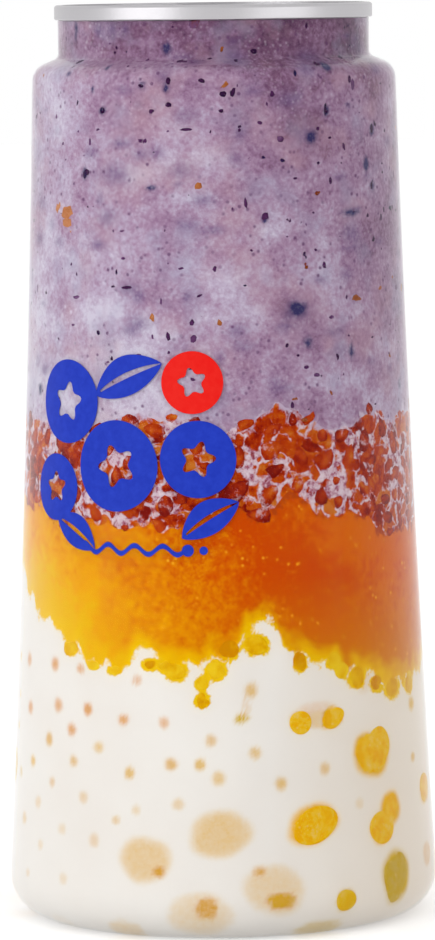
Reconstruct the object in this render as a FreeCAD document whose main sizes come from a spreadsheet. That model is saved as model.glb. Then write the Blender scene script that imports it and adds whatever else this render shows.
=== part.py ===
import FreeCAD, Part
import Sketcher
import math
import os
import re

# Blueberry frappe in a clear plastic drinks can with a seamed aluminium end.
# Millimetres, +Z up, origin at the middle of the face the can stands on, front towards -Y.

SIZES = {
    # the whole can
    "total_height": 155.3,
    "base_radius": 36.8,
    "shoulder_step": 4.38,
    "shoulder_drop": 8.2,
    # rounds and slopes of the blown wall
    "heel_round": 6.8,
    "shoulder_round": 3.15,
    "shoulder_slope": 23,
    "neck_fillet": 1.0,
    "foot_width": 2.2,
    "foot_round": 2.5,
    "push_up": 3.4,
    "gate_land": 9.0,
    "dome_round": 20.0,
    "gate_radius": 1.6,
    "gate_drop": 0.5,
    # wall thicknesses
    "wall": 0.5,
    "base_wall": 0.8,
    "neck_wall": 0.45,
    "flange_wall": 0.22,
    # double seam: the can's flange is hooked inside the rolled edge of the end
    "seam_radius": 27.0,
    "seam_height": 2.5,
    "seam_round": 0.55,
    "end_gauge": 0.25,
    "hook_gap": 0.03,
    # panel of the end
    "countersink_depth": 6.5,
    "panel_depth": 4.4,
    "chuck_lean": 1.24,
    "countersink_width": 2.0,
    "bead_round": 0.45,
    # sunk field round the mouth and the tab
    "field_margin": 2.5,
    "heel_margin": 1.6,
    "field_half_width": 10.6,
    "field_depth": 0.45,
    "field_corner": 9.0,
    # mouth score
    "mouth_margin": 1.6,
    "mouth_back": 4.6,
    "mouth_half_width": 8.8,
    "mouth_corner": 6.6,
    "score_width": 0.35,
    "score_depth": 0.1,
    # rivet
    "rivet_radius": 1.5,
    "rivet_head_radius": 2.4,
    "rivet_head": 0.4,
    "rivet_gap": 0.12,
    # pull tab
    "tab_length": 24.6,
    "tab_nose": 7.6,
    "tab_half_width": 7.9,
    "tab_nose_half_width": 6.2,
    "tab_thickness": 1.2,
    "tab_edge_round": 0.45,
    "tab_seat_gap": 0.1,
    "tongue_thickness": 0.35,
    "tongue_half_width": 3.6,
    "slot_width": 0.8,
    "finger_half_width": 5.2,
    "finger_bridge": 3.5,
    "tab_rim": 2.3,
    "fill_gap": 0.6,
    # drink: mean level of each layer, how far it drops to the right, and its swell at the wall
    "milk_level": 48.5,
    "milk_drop": 8.0,
    "milk_swell": 4.0,
    "mango_level": 69.8,
    "mango_drop": 2.6,
    "mango_swell": 1.2,
    "pulp_level": 85.4,
    "pulp_drop": 0.6,
    "pulp_swell": 2.6,
}


def bound(expression):
    """Writes the sheet's aliases in an expression as references to the sheet."""
    return re.sub(r"[a-z]+_[a-z_]+|\bwall\b", lambda word: "sizes." + word.group(0), expression)


def value(expression):
    """Works an expression of aliases out as a number, from the sheet."""
    return float(sheet.evalExpression(bound(expression)))


def make_sheet():
    """The driving dimensions, one alias a row."""
    made = doc.addObject("Spreadsheet::Sheet", "sizes")
    for row, (alias, size) in enumerate(SIZES.items(), start=1):
        made.set(f"A{row}", alias)
        made.set(f"B{row}", str(size))
        made.setAlias(f"B{row}", alias)
    doc.recompute()
    return made


def make_body(name):
    body = doc.addObject("PartDesign::Body", name)
    body.Label = name
    return body


def make_sketch(body, name, plane, height=None):
    """A sketch on one of the body's own origin planes, raised by an expression where given."""
    sketch = body.newObject("Sketcher::SketchObject", name)
    datum = [item for item in body.Origin.OriginFeatures if item.Role == plane][0]
    sketch.AttachmentSupport = [(datum, "")]
    sketch.MapMode = "FlatFace"
    if height is not None:
        sketch.setExpression("AttachmentOffset.Base.z", bound(height))
    return sketch


def sized(kind, *parts):
    """A constraint whose size, the last of its parts, follows an expression of the sheet."""
    return Sketcher.Constraint(kind, *parts[:-1], value(parts[-1])), parts[-1]


def pins(geometry, point, across, up):
    """A point's two distances from the sketch's origin."""
    return [sized("DistanceX", -1, 1, geometry, point, across),
            sized("DistanceY", -1, 1, geometry, point, up)]


def constrain(sketch, constraints):
    """Adds the constraints in one go, so that none pulls the outline about before the rest."""
    first = sketch.ConstraintCount
    sketch.addConstraint([constraint for constraint, _ in constraints])
    for index, (_, expression) in enumerate(constraints, start=first):
        if expression is not None:
            sketch.setExpression(f"Constraints[{index}]", bound(expression))


def add_arc(sketch, start, middle, end):
    """Adds an arc and tells which of its ends, 1 or 2, are its start and its end."""
    through = Part.Circle(start, middle, end)
    circle = Part.Circle(through.Center, FreeCAD.Vector(0, 0, 1), through.Radius)
    from_start, from_end = circle.parameter(start), circle.parameter(end)
    leftward = (middle - start).cross(end - middle).z > 0
    if leftward:
        return sketch.addGeometry(Part.ArcOfCircle(circle, from_start, from_end), False), 1, 2
    return sketch.addGeometry(Part.ArcOfCircle(circle, from_end, from_start), False), 2, 1


def draw(sketch, corners):
    """Draws a closed outline of straight edges through corners of (across, up, round).

    Across and up place the corner before it is rounded, and round is the radius it gets.
    Each is an expression, and a sharp corner leaves its round out.
    """
    corners = [(*corner, None)[:3] for corner in corners]
    places = [FreeCAD.Vector(value(across), value(up), 0) for across, up, _ in corners]
    entries, middles, exits = list(places), list(places), list(places)
    for index, (_, _, rounding) in enumerate(corners):
        if rounding is None:
            continue
        here, before, after = places[index], places[index - 1], places[(index + 1) % len(places)]
        back, ahead = (before - here).normalize(), (after - here).normalize()
        half = back.getAngle(ahead) / 2
        entries[index] = here + back * (value(rounding) / math.tan(half))
        exits[index] = here + ahead * (value(rounding) / math.tan(half))
        inward = (back + ahead).normalize()
        middles[index] = here + inward * value(rounding) * (1 / math.sin(half) - 1)

    edges = []
    for index, start in enumerate(exits):
        line = Part.LineSegment(start, entries[(index + 1) % len(entries)])
        edges.append(sketch.addGeometry(line, False))

    constraints = []
    for index, (across, up, rounding) in enumerate(corners):
        arriving, leaving = edges[index - 1], edges[index]
        if rounding is None:
            constraints.append((Sketcher.Constraint("Coincident", arriving, 2, leaving, 1), None))
            constraints += pins(leaving, 1, across, up)
            continue
        arc, arc_start, arc_end = add_arc(sketch, entries[index], middles[index], exits[index])
        spot = sketch.addGeometry(Part.Point(places[index]), True)
        for constraint in (Sketcher.Constraint("Tangent", arriving, 2, arc, arc_start),
                           Sketcher.Constraint("Tangent", arc, arc_end, leaving, 1),
                           Sketcher.Constraint("PointOnObject", spot, 1, arriving),
                           Sketcher.Constraint("PointOnObject", spot, 1, leaving)):
            constraints.append((constraint, None))
        constraints += pins(spot, 1, across, up) + [sized("Radius", arc, rounding)]
    constrain(sketch, constraints)


def draw_circle(sketch, across, up, radius):
    """Draws a circle whose centre and radius follow the sheet."""
    centre = FreeCAD.Vector(value(across), value(up), 0)
    circle = Part.Circle(centre, FreeCAD.Vector(0, 0, 1), value(radius))
    index = sketch.addGeometry(circle, False)
    constrain(sketch, [sized("Radius", index, radius)] + pins(index, 3, across, up))


def revolve(body, kind, name, corners):
    """Turns an outline once round the body's axis, as a Revolution or a Groove."""
    sketch = make_sketch(body, name + "_outline", "XZ_Plane")
    draw(sketch, corners)
    doc.recompute()
    feature = body.newObject("PartDesign::" + kind, name)
    feature.Profile = sketch
    feature.ReferenceAxis = (sketch, ["V_Axis"])
    feature.Angle = 360
    return finish_feature(feature, kind == "Revolution")


def extrude(body, kind, name, sketch, length, downward=False):
    """Pads or pockets a finished sketch by an expression."""
    doc.recompute()
    feature = body.newObject("PartDesign::" + kind, name)
    feature.Profile = sketch
    feature.setExpression("Length", bound(length))
    feature.Reversed = downward
    return finish_feature(feature, kind == "Pad")


def finish_feature(feature, adds):
    """Recomputes a feature and makes sure that it added or took material."""
    body = feature.getParentGeoFeatureGroup()
    before = feature.BaseFeature.Shape.Volume if feature.BaseFeature else 0
    doc.recompute()
    gained = feature.Shape.Volume - before
    if (gained > 0) != adds or abs(gained) < 1e-3:
        raise RuntimeError(f"{feature.Name} in {body.Label} changes nothing, or the wrong way")
    return feature


# ---------------------------------------------------------------- heights and radii that follow

SEAM_FOOT = "(total_height - seam_height)"
PANEL_TOP = "(total_height - panel_depth)"
NECK_BORE = "(seam_radius - 2 * end_gauge - 2 * flange_wall - 3 * hook_gap)"
NECK_RADIUS = f"({NECK_BORE} + neck_wall)"
SHOULDER_RADIUS = f"({NECK_RADIUS} + shoulder_step)"
SHOULDER_HEIGHT = f"({SEAM_FOOT} - shoulder_drop)"
NECK_FOOT = f"({SHOULDER_HEIGHT} + shoulder_step * tan(shoulder_slope))"
CHUCK_RADIUS = f"({NECK_BORE} - hook_gap)"
CHUCK_FOOT = f"({CHUCK_RADIUS} - chuck_lean)"
PANEL_RADIUS = f"({CHUCK_FOOT} - countersink_width)"
FIELD_FRONT = f"({PANEL_RADIUS} - field_margin)"
MOUTH_FRONT = f"({FIELD_FRONT} - mouth_margin)"
TAB_HEEL = "(tab_length - tab_nose)"
FIELD_BACK = f"({TAB_HEEL} + heel_margin)"
FINGER_FRONT = "(tongue_half_width + finger_bridge)"
FINGER_LENGTH = f"({TAB_HEEL} - tab_rim - {FINGER_FRONT})"
CHANNEL_TOP = "(total_height - end_gauge)"
CHANNEL_RADIUS = "(seam_radius - end_gauge)"
CHANNEL_FOOT = f"({SEAM_FOOT} + end_gauge)"
RIM_TOP = f"({CHANNEL_TOP} - hook_gap)"
TAB_FLOOR = "(total_height - panel_depth - field_depth + tab_seat_gap)"


def can_outline():
    """The blown wall's outside, up to the flange that hooks down inside the seam."""
    return [
        ("0", "push_up"),
        ("gate_land", "push_up", "dome_round"),
        ("base_radius - heel_round - foot_width", "0", "foot_round"),
        ("base_radius", "0", "heel_round"),
        (SHOULDER_RADIUS, SHOULDER_HEIGHT, "shoulder_round"),
        (NECK_RADIUS, NECK_FOOT, "neck_fillet"),
        (NECK_RADIUS, f"{SEAM_FOOT} - hook_gap"),
        (f"{NECK_BORE} + flange_wall", f"{SEAM_FOOT} - hook_gap"),
        (f"{NECK_BORE} + flange_wall", f"{RIM_TOP} - flange_wall"),
        (f"{CHANNEL_RADIUS} - hook_gap - flange_wall", f"{RIM_TOP} - flange_wall"),
        (f"{CHANNEL_RADIUS} - hook_gap - flange_wall", f"{CHANNEL_FOOT} + hook_gap"),
        (f"{CHANNEL_RADIUS} - hook_gap", f"{CHANNEL_FOOT} + hook_gap"),
        (f"{CHANNEL_RADIUS} - hook_gap", RIM_TOP),
        ("0", RIM_TOP),
    ]


def cavity_outline():
    """The wall's inside, which is also the outside of the drink."""
    lowered = "wall * (tan(shoulder_slope) - 1 / cos(shoulder_slope))"
    neck_lowered = "neck_wall * tan(shoulder_slope) - wall / cos(shoulder_slope)"
    return [
        ("0", "push_up + base_wall"),
        ("gate_land", "push_up + base_wall", "dome_round + base_wall"),
        ("base_radius - heel_round - foot_width", "base_wall", "foot_round - base_wall"),
        ("base_radius - wall", "base_wall", "heel_round - wall"),
        (f"{SHOULDER_RADIUS} - wall", f"{SHOULDER_HEIGHT} + {lowered}", "shoulder_round - wall"),
        (NECK_BORE, f"{NECK_FOOT} + {neck_lowered}", "neck_fillet + neck_wall"),
        (NECK_BORE, RIM_TOP),
        ("0", RIM_TOP),
    ]


def make_can():
    """Clear wall: domed base with its gate mark, rounded heel, flared body and flange."""
    body = make_body("can_wall")
    revolve(body, "Revolution", "blown_form", can_outline())
    gate = make_sketch(body, "gate_outline", "XY_Plane", "push_up - gate_drop")
    draw_circle(gate, "0", "0", "gate_radius")
    extrude(body, "Pad", "gate", gate, "gate_drop + base_wall / 2")
    revolve(body, "Groove", "cavity", cavity_outline())
    return body


def end_outline():
    """The end's underside, its chuck wall and the outside of the seam, still solid above."""
    return [
        ("0", f"{PANEL_TOP} - end_gauge"),
        (f"{PANEL_RADIUS} - end_gauge", f"{PANEL_TOP} - end_gauge", "bead_round - end_gauge"),
        (f"{PANEL_RADIUS} - end_gauge", "total_height - countersink_depth", "bead_round"),
        (CHUCK_FOOT, "total_height - countersink_depth", "bead_round"),
        (CHUCK_RADIUS, SEAM_FOOT),
        ("seam_radius", SEAM_FOOT, "seam_round / 2"),
        ("seam_radius", "total_height", "seam_round"),
        ("0", "total_height"),
    ]


def recess_outline():
    """What is pressed into the end from above: the seam's bore, countersink and panel."""
    floor = "total_height - countersink_depth + end_gauge"
    inner = "bead_round - end_gauge"
    return [
        ("0", PANEL_TOP),
        (PANEL_RADIUS, PANEL_TOP, "bead_round"),
        (PANEL_RADIUS, floor, inner),
        (f"{CHUCK_FOOT} - end_gauge", floor, inner),
        (f"{CHUCK_RADIUS} - end_gauge", SEAM_FOOT),
        (f"{CHUCK_RADIUS} - end_gauge", "total_height"),
        ("0", "total_height"),
    ]


def channel_outline():
    """The hooked channel inside the seam that holds the can's flange."""
    bridge = f"{RIM_TOP} - flange_wall - hook_gap"
    inner = f"{NECK_BORE} + flange_wall + hook_gap"
    outer = f"{CHANNEL_RADIUS} - flange_wall - 2 * hook_gap"
    return [
        (CHUCK_RADIUS, SEAM_FOOT),
        (inner, SEAM_FOOT),
        (inner, bridge),
        (outer, bridge),
        (outer, CHANNEL_FOOT),
        (CHANNEL_RADIUS, CHANNEL_FOOT),
        (CHANNEL_RADIUS, CHANNEL_TOP),
        (CHUCK_RADIUS, CHANNEL_TOP),
    ]


def field_corners(grown):
    """The sunk field round the mouth and the tab, grown outward by an expression."""
    corner = f"field_corner + {grown}"
    return [
        (f"-field_half_width - {grown}", f"-{FIELD_FRONT} - {grown}", corner),
        (f"field_half_width + {grown}", f"-{FIELD_FRONT} - {grown}", corner),
        (f"field_half_width + {grown}", f"{FIELD_BACK} + {grown}", corner),
        (f"-field_half_width - {grown}", f"{FIELD_BACK} + {grown}", corner),
    ]


def mouth_corners(shrunk):
    """The mouth's outline, drawn inward by an expression."""
    corner = f"mouth_corner - {shrunk}"
    return [
        (f"-mouth_half_width + {shrunk}", f"-{MOUTH_FRONT} + {shrunk}", corner),
        (f"mouth_half_width - {shrunk}", f"-{MOUTH_FRONT} + {shrunk}", corner),
        (f"mouth_half_width - {shrunk}", f"-mouth_back - {shrunk}", corner),
        (f"-mouth_half_width + {shrunk}", f"-mouth_back - {shrunk}", corner),
    ]


def make_end():
    """Aluminium end: double seam, countersink, sunk field, scored mouth and rivet."""
    body = make_body("lid_end")
    revolve(body, "Revolution", "end_form", end_outline())

    under = make_sketch(body, "field_under_outline", "XY_Plane", f"{PANEL_TOP} - end_gauge")
    draw(under, field_corners("end_gauge"))
    extrude(body, "Pad", "field_under", under, "field_depth", downward=True)

    revolve(body, "Groove", "recess", recess_outline())
    revolve(body, "Groove", "channel", channel_outline())

    field = make_sketch(body, "field_outline", "XY_Plane", PANEL_TOP)
    draw(field, field_corners("0"))
    extrude(body, "Pocket", "field", field, "field_depth")

    score = make_sketch(body, "score_outline", "XY_Plane", f"{PANEL_TOP} - field_depth")
    draw(score, mouth_corners("0"))
    draw(score, mouth_corners("score_width"))
    extrude(body, "Pocket", "score", score, "score_depth")

    stem = make_sketch(body, "rivet_outline", "XY_Plane", f"{PANEL_TOP} - field_depth")
    draw_circle(stem, "0", "0", "rivet_radius")
    extrude(body, "Pad", "rivet", stem, "tab_seat_gap + tongue_thickness + rivet_gap")
    head = make_sketch(body, "rivet_head_outline", "XY_Plane",
                       f"{TAB_FLOOR} + tongue_thickness + rivet_gap")
    draw_circle(head, "0", "0", "rivet_head_radius")
    extrude(body, "Pad", "rivet_head", head, "rivet_head")
    return body


def tab_corners():
    """The tab's outline: a blunt nose over the mouth and a broader heel for the finger."""
    return [
        ("-tab_nose_half_width", "-tab_nose", "tab_nose_half_width * 0.9"),
        ("tab_nose_half_width", "-tab_nose", "tab_nose_half_width * 0.9"),
        ("tab_half_width", TAB_HEEL, "tab_half_width * 0.8"),
        ("-tab_half_width", TAB_HEEL, "tab_half_width * 0.8"),
    ]


def finger_corners():
    """The finger hole, set in from the heel by the curled rim."""
    heel = f"{TAB_HEEL} - tab_rim"
    corner = f"min(finger_half_width * 0.7; {FINGER_LENGTH} * 0.48)"
    return [
        ("-finger_half_width", FINGER_FRONT, corner),
        ("finger_half_width", FINGER_FRONT, corner),
        ("finger_half_width", heel, corner),
        ("-finger_half_width", heel, corner),
    ]


def tongue_corners(grown):
    """The riveted tongue, or with growth the slot that frees it on its nose side."""
    return [
        (f"-tongue_half_width - {grown}", f"-tongue_half_width - {grown}", "1.2"),
        (f"tongue_half_width + {grown}", f"-tongue_half_width - {grown}", "1.2"),
        (f"tongue_half_width + {grown}", "tongue_half_width"),
        (f"-tongue_half_width - {grown}", "tongue_half_width"),
    ]


def make_tab():
    """Stay-on tab with its finger hole and the thin tongue that the rivet holds."""
    body = make_body("pull_tab")
    outline = make_sketch(body, "tab_outline", "XY_Plane", TAB_FLOOR)
    draw(outline, tab_corners())
    plate = extrude(body, "Pad", "plate", outline, "tab_thickness")

    edges = body.newObject("PartDesign::Fillet", "curled_edge")
    edges.Base = (plate, flat_face_names(plate.Shape))
    edges.setExpression("Radius", bound("tab_edge_round"))
    finish_feature(edges, False)

    finger = make_sketch(body, "finger_outline", "XY_Plane", f"{TAB_FLOOR} + tab_thickness")
    draw(finger, finger_corners())
    extrude(body, "Pocket", "finger_hole", finger, "tab_thickness")

    sunk = make_sketch(body, "tongue_outline", "XY_Plane", f"{TAB_FLOOR} + tab_thickness")
    draw(sunk, tongue_corners("0"))
    extrude(body, "Pocket", "tongue", sunk, "tab_thickness - tongue_thickness")

    slot = make_sketch(body, "slot_outline", "XY_Plane", f"{TAB_FLOOR} + tab_thickness")
    draw(slot, slot_corners())
    extrude(body, "Pocket", "slot", slot, "tab_thickness")

    hole = make_sketch(body, "rivet_hole_outline", "XY_Plane", f"{TAB_FLOOR} + tongue_thickness")
    draw_circle(hole, "0", "0", "rivet_radius + rivet_gap")
    extrude(body, "Pocket", "rivet_hole", hole, "tongue_thickness")
    return body


def slot_corners():
    """The slot round the tongue's nose side, which lets the tab hinge on its rivet."""
    end = "tongue_half_width * 0.4"
    outer = "(tongue_half_width + slot_width)"
    return [
        (f"-{outer}", end),
        (f"-{outer}", f"-{outer}", "slot_width"),
        (outer, f"-{outer}", "slot_width"),
        (outer, end),
        ("tongue_half_width", end),
        ("tongue_half_width", "-tongue_half_width"),
        ("-tongue_half_width", "-tongue_half_width"),
        ("-tongue_half_width", end),
    ]


def flat_face_names(shape):
    """The faces that look straight up or down."""
    names = []
    for index, face in enumerate(shape.Faces, start=1):
        if abs(abs(face.normalAt(0, 0).z) - 1) < 1e-6:
            names.append(f"Face{index}")
    return names


def make_under(name, layer, waves, turned):
    """Everything below the rolling top of a layer, as one solid.

    The top drops evenly towards the right and swells in waves that grow from the middle
    to the wall; turned is the azimuth of the first crest, from the front towards the right.
    """
    reach = value("base_radius") * 1.1
    steps = 12
    rows = []
    for row in range(steps + 1):
        y = reach * (2 * row / steps - 1)
        rows.append([])
        for column in range(steps + 1):
            x = reach * (2 * column / steps - 1)
            outward = math.hypot(x, y) / value("base_radius")
            azimuth = math.degrees(math.atan2(x, -y))
            wave = outward ** 3 * math.cos(math.radians(waves * (azimuth - turned)))
            level = value(f"{layer}_level - {layer}_drop * {x / reach}")
            rows[-1].append(FreeCAD.Vector(x, y, level + value(f"{layer}_swell") * wave))
    surface = Part.BSplineSurface()
    surface.interpolate(rows)
    under = doc.addObject("Part::Feature", name)
    under.Shape = surface.toShape().extrude(FreeCAD.Vector(0, 0, -value("total_height")))
    under.Placement = FreeCAD.Placement()
    return under


def combine(kind, name, first, second):
    """A Part::Common or Part::Cut of two objects."""
    made = doc.addObject("Part::" + kind, name)
    made.Base = first
    made.Tool = second
    made.Label = name
    return made


def make_drink(can, end):
    """The four layers, poured one on another and cut by the wall and the end's underside."""
    fill = doc.addObject("Part::Revolution", "fill")
    fill.Source = [item for item in can.Group if item.Name == "cavity_outline"][0]
    fill.Axis = FreeCAD.Vector(0, 0, 1)
    fill.Angle = 360
    fill.Solid = True
    underside = [item for item in end.Group if item.Name == "field_under"][0]
    drink = combine("Cut", "drink", fill, underside)

    headroom = doc.addObject("Part::Cylinder", "headroom")
    headroom.setExpression("Radius", bound("base_radius"))
    headroom.setExpression("Height", bound(f"{SEAM_FOOT} - fill_gap"))

    under_milk = make_under("under_milk", "milk", waves=4, turned=12)
    under_mango = make_under("under_mango", "mango", waves=3, turned=-10)
    under_pulp = make_under("under_pulp", "pulp", waves=5, turned=18)

    milk = combine("Common", "milk", drink, under_milk)
    mango = combine("Cut", "mango", combine("Common", "mango_below", drink, under_mango), under_milk)
    pulp = combine("Cut", "pulp", combine("Common", "pulp_below", drink, under_pulp), under_mango)
    above = combine("Cut", "above_pulp", drink, under_pulp)
    smoothie = combine("Common", "smoothie", above, headroom)
    return [milk, mango, pulp, smoothie]


def check_all():
    """Stops the build where any object failed without saying so."""
    doc.recompute()
    for item in doc.Objects:
        if "Invalid" in item.State or "Error" in item.State:
            raise RuntimeError(f"{item.Name} failed: {item.State}")


def export(pieces):
    os.makedirs("parts", exist_ok=True)
    for piece in pieces:
        shape = piece.Shape
        if shape.isNull() or not shape.isValid() or len(shape.Solids) != 1:
            raise RuntimeError(f"{piece.Label} isn't one valid solid")
        shape.exportStep(f"parts/{piece.Label}.step")


doc = FreeCAD.newDocument("blueberry_frappe")
sheet = make_sheet()
can_wall = make_can()
lid_end = make_end()
pull_tab = make_tab()
layers = make_drink(can_wall, lid_end)
check_all()
export([can_wall, lid_end, pull_tab] + layers)
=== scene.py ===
import math

import bpy
import numpy as np
from mathutils import Matrix, Vector


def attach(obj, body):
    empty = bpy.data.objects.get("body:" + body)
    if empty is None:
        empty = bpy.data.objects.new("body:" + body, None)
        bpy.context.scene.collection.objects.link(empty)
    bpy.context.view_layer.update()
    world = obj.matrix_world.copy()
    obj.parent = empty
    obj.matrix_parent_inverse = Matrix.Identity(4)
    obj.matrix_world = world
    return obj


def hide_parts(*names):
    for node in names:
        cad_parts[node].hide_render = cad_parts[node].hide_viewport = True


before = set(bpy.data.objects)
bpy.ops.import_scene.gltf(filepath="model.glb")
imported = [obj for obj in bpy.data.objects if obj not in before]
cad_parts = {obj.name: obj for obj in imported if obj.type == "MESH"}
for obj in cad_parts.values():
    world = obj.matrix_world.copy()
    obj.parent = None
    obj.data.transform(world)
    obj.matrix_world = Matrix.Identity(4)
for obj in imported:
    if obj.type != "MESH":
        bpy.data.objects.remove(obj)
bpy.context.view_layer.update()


# ---------------------------------------------------------------- clear wall
# A stretch-blown can of clear PET-type plastic, half a millimetre thick, with a rounded heel,
# a domed base and a necked shoulder. It flares gently from the shoulder to the base.

MM = 0.001


def deselect():
    """Leaves edit mode and selects nothing."""
    if bpy.context.object and bpy.context.object.mode == "EDIT":
        bpy.ops.object.mode_set(mode="OBJECT")
    bpy.ops.object.select_all(action="DESELECT")


def rounded(corners, steps=8):
    """Points of an outline through (radius, height, round) corners, rounds drawn as arcs."""
    points = []
    for index, (radius, height, *rounds) in enumerate(corners):
        here = Vector((radius, height))
        if not rounds:
            points.append((radius, height))
            continue
        rounding = rounds[0]
        back = (Vector(corners[index - 1][:2]) - here).normalized()
        ahead = (Vector(corners[index + 1][:2]) - here).normalized()
        half = back.angle(ahead) / 2
        centre = here + (back + ahead).normalized() * (rounding / math.sin(half))
        start = here + back * (rounding / math.tan(half)) - centre
        end = here + ahead * (rounding / math.tan(half)) - centre
        turn = start.angle_signed(end)
        for step in range(steps + 1):
            spoke = start.copy()
            spoke.rotate(Matrix.Rotation(-turn * step / steps, 2))
            points.append(tuple(centre + spoke))
    return points


def turned(name, profile, segments=192):
    """A closed solid of revolution, drawn ring by ring through (radius, height) in millimetres."""
    deselect()
    radius, height = profile[0]
    bpy.ops.mesh.primitive_circle_add(vertices=segments, radius=radius * MM, fill_type="NGON",
                                      location=(0, 0, height * MM))
    piece = bpy.context.object
    piece.name = piece.data.name = name
    bpy.ops.object.transform_apply(location=True)
    bpy.ops.object.mode_set(mode="EDIT")
    bpy.ops.mesh.select_mode(type="VERT")
    bpy.ops.mesh.select_all(action="SELECT")
    bpy.ops.mesh.delete(type="ONLY_FACE")
    bpy.ops.mesh.select_all(action="SELECT")
    bpy.ops.mesh.edge_face_add()
    bpy.ops.mesh.select_all(action="SELECT")
    for (before, low), (after, high) in zip(profile, profile[1:]):
        bpy.ops.mesh.extrude_edges_move(
            TRANSFORM_OT_translate={"value": (0, 0, (high - low) * MM)})
        bpy.ops.transform.resize(value=(after / before, after / before, 1),
                                 center_override=(0, 0, high * MM))
    bpy.ops.mesh.edge_face_add()
    bpy.ops.mesh.select_all(action="SELECT")
    bpy.ops.mesh.normals_make_consistent(inside=False)
    bpy.ops.object.mode_set(mode="OBJECT")
    bpy.ops.object.shade_smooth_by_angle(angle=math.radians(40))
    return piece


WALL = 0.5               # body wall, mm
BASE_WALL = 0.8          # wall of the domed base
NECK_WALL = 0.45
SIDE_BOW = 0.45          # how far the side is drawn in between shoulder and heel
SIDE_BANDS = 48          # bands up the side, so that its bow is smooth
SEAT = 0.2               # how far the drink reaches into the wall, so that no air shows between
DOME_HEIGHT = 3.4        # of the base's middle above the table
STAND_RADIUS = 27.8      # where the dome meets the flat ring that it stands on
BASE_RADIUS = 36.8       # where the side would meet the table
HEEL_ROUND = 6.8
SHOULDER = (30.8, 144.6)
SHOULDER_ROUND = 3.15
NECK_RADIUS = 26.42
NECK_FOOT = SHOULDER[1] + (SHOULDER[0] - NECK_RADIUS) * math.tan(math.radians(23))
NECK_TOP = 152.7         # where the flange turns out into the seam
RIM_HEIGHT = 154.6       # hidden inside the seam


def wall_outline(inset, floor):
    """The can's outline drawn in by an inset, from its middle underneath up to the rim."""
    side = rounded([
        (3, DOME_HEIGHT + floor),
        (9, DOME_HEIGHT + floor, 20 + floor),
        (STAND_RADIUS, floor, max(2.5 - floor, 0.5)),
        (BASE_RADIUS - inset, floor, HEEL_ROUND - inset),
        (SHOULDER[0] - inset, SHOULDER[1] - 0.66 * inset, SHOULDER_ROUND - inset),
        (NECK_RADIUS - inset, NECK_FOOT - 0.7 * inset, 1 + inset),
        (NECK_RADIUS - inset, NECK_TOP),
    ])
    foot = max(index for index, (_, height) in enumerate(side) if height < 20)
    low, high = side[foot][1], side[foot + 1][1]
    straight = []
    for band in range(1, SIDE_BANDS):
        share = band / SIDE_BANDS
        straight.append((side[foot][0] + (side[foot + 1][0] - side[foot][0]) * share,
                         low + (high - low) * share))
    drawn = side[:foot + 1] + straight + side[foot + 1:]
    bowed = []
    for radius, height in drawn:
        share = min(max((height - low) / (high - low), 0), 1)
        bowed.append((radius - SIDE_BOW * 4 * share * (1 - share), height))
    return bowed


outside = wall_outline(0, 0)
inside = wall_outline(WALL, BASE_WALL)
thin_neck = [(radius if height < 147 else NECK_RADIUS - NECK_WALL, height)
             for radius, height in inside]
wall_path = thin_neck + [(25.97, RIM_HEIGHT), (26.19, RIM_HEIGHT), (26.19, 152.74)]
wall_path += outside[::-1]
can_wall = turned("clear_wall", wall_path)


def srgb(code):
    """A hex colour turned to the linear values that sockets hold."""
    shares = [int(code[index:index + 2], 16) / 255 for index in (1, 3, 5)]
    return tuple(share / 12.92 if share <= 0.04045 else ((share + 0.055) / 1.055) ** 2.4
                 for share in shares) + (1,)


def wire(tree, node, links):
    """Gives inputs, by name or number, a value, a hex colour, a socket or a node's first output."""
    for place, value in links.items():
        if isinstance(value, bpy.types.Node):
            value = next(socket for socket in value.outputs if socket.enabled)
        if isinstance(value, bpy.types.NodeSocket):
            tree.links.new(value, node.inputs[place])
        else:
            node.inputs[place].default_value = srgb(value) if isinstance(value, str) else value


def add_node(tree, kind, links=None, stops=None, **settings):
    """Adds a node with its settings and links, and a ramp's (position, hex colour) stops. A
    mix is of two colours, at inputs 6 and 7, with the share of the second at 0."""
    made = tree.nodes.new("ShaderNode" + kind)
    if kind == "Mix":
        made.data_type = "RGBA"
    for setting, value in settings.items():
        setattr(made, setting, value)
    wire(tree, made, links or {})
    if stops:
        elements = made.color_ramp.elements
        elements[0].position, elements[0].color = stops[0][0], srgb(stops[0][1])
        elements[1].position, elements[1].color = stops[-1][0], srgb(stops[-1][1])
        for position, code in stops[1:-1]:
            elements.new(position).color = srgb(code)
    return made


def across(size):
    """The scale of a pattern whose grain, cell or wave is so many millimetres across."""
    return 1 / (size * MM)


def new_material(name, **sockets):
    """A material with one Principled shader whose plain values are set here."""
    made = bpy.data.materials.new(name)
    made.use_nodes = True
    shader = made.node_tree.nodes["Principled BSDF"]
    wire(made.node_tree, shader, {socket.replace("_", " "): sockets[socket] for socket in sockets})
    return made, made.node_tree, shader


def dress(piece, material):
    piece.data.materials.clear()
    piece.data.materials.append(material)


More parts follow.
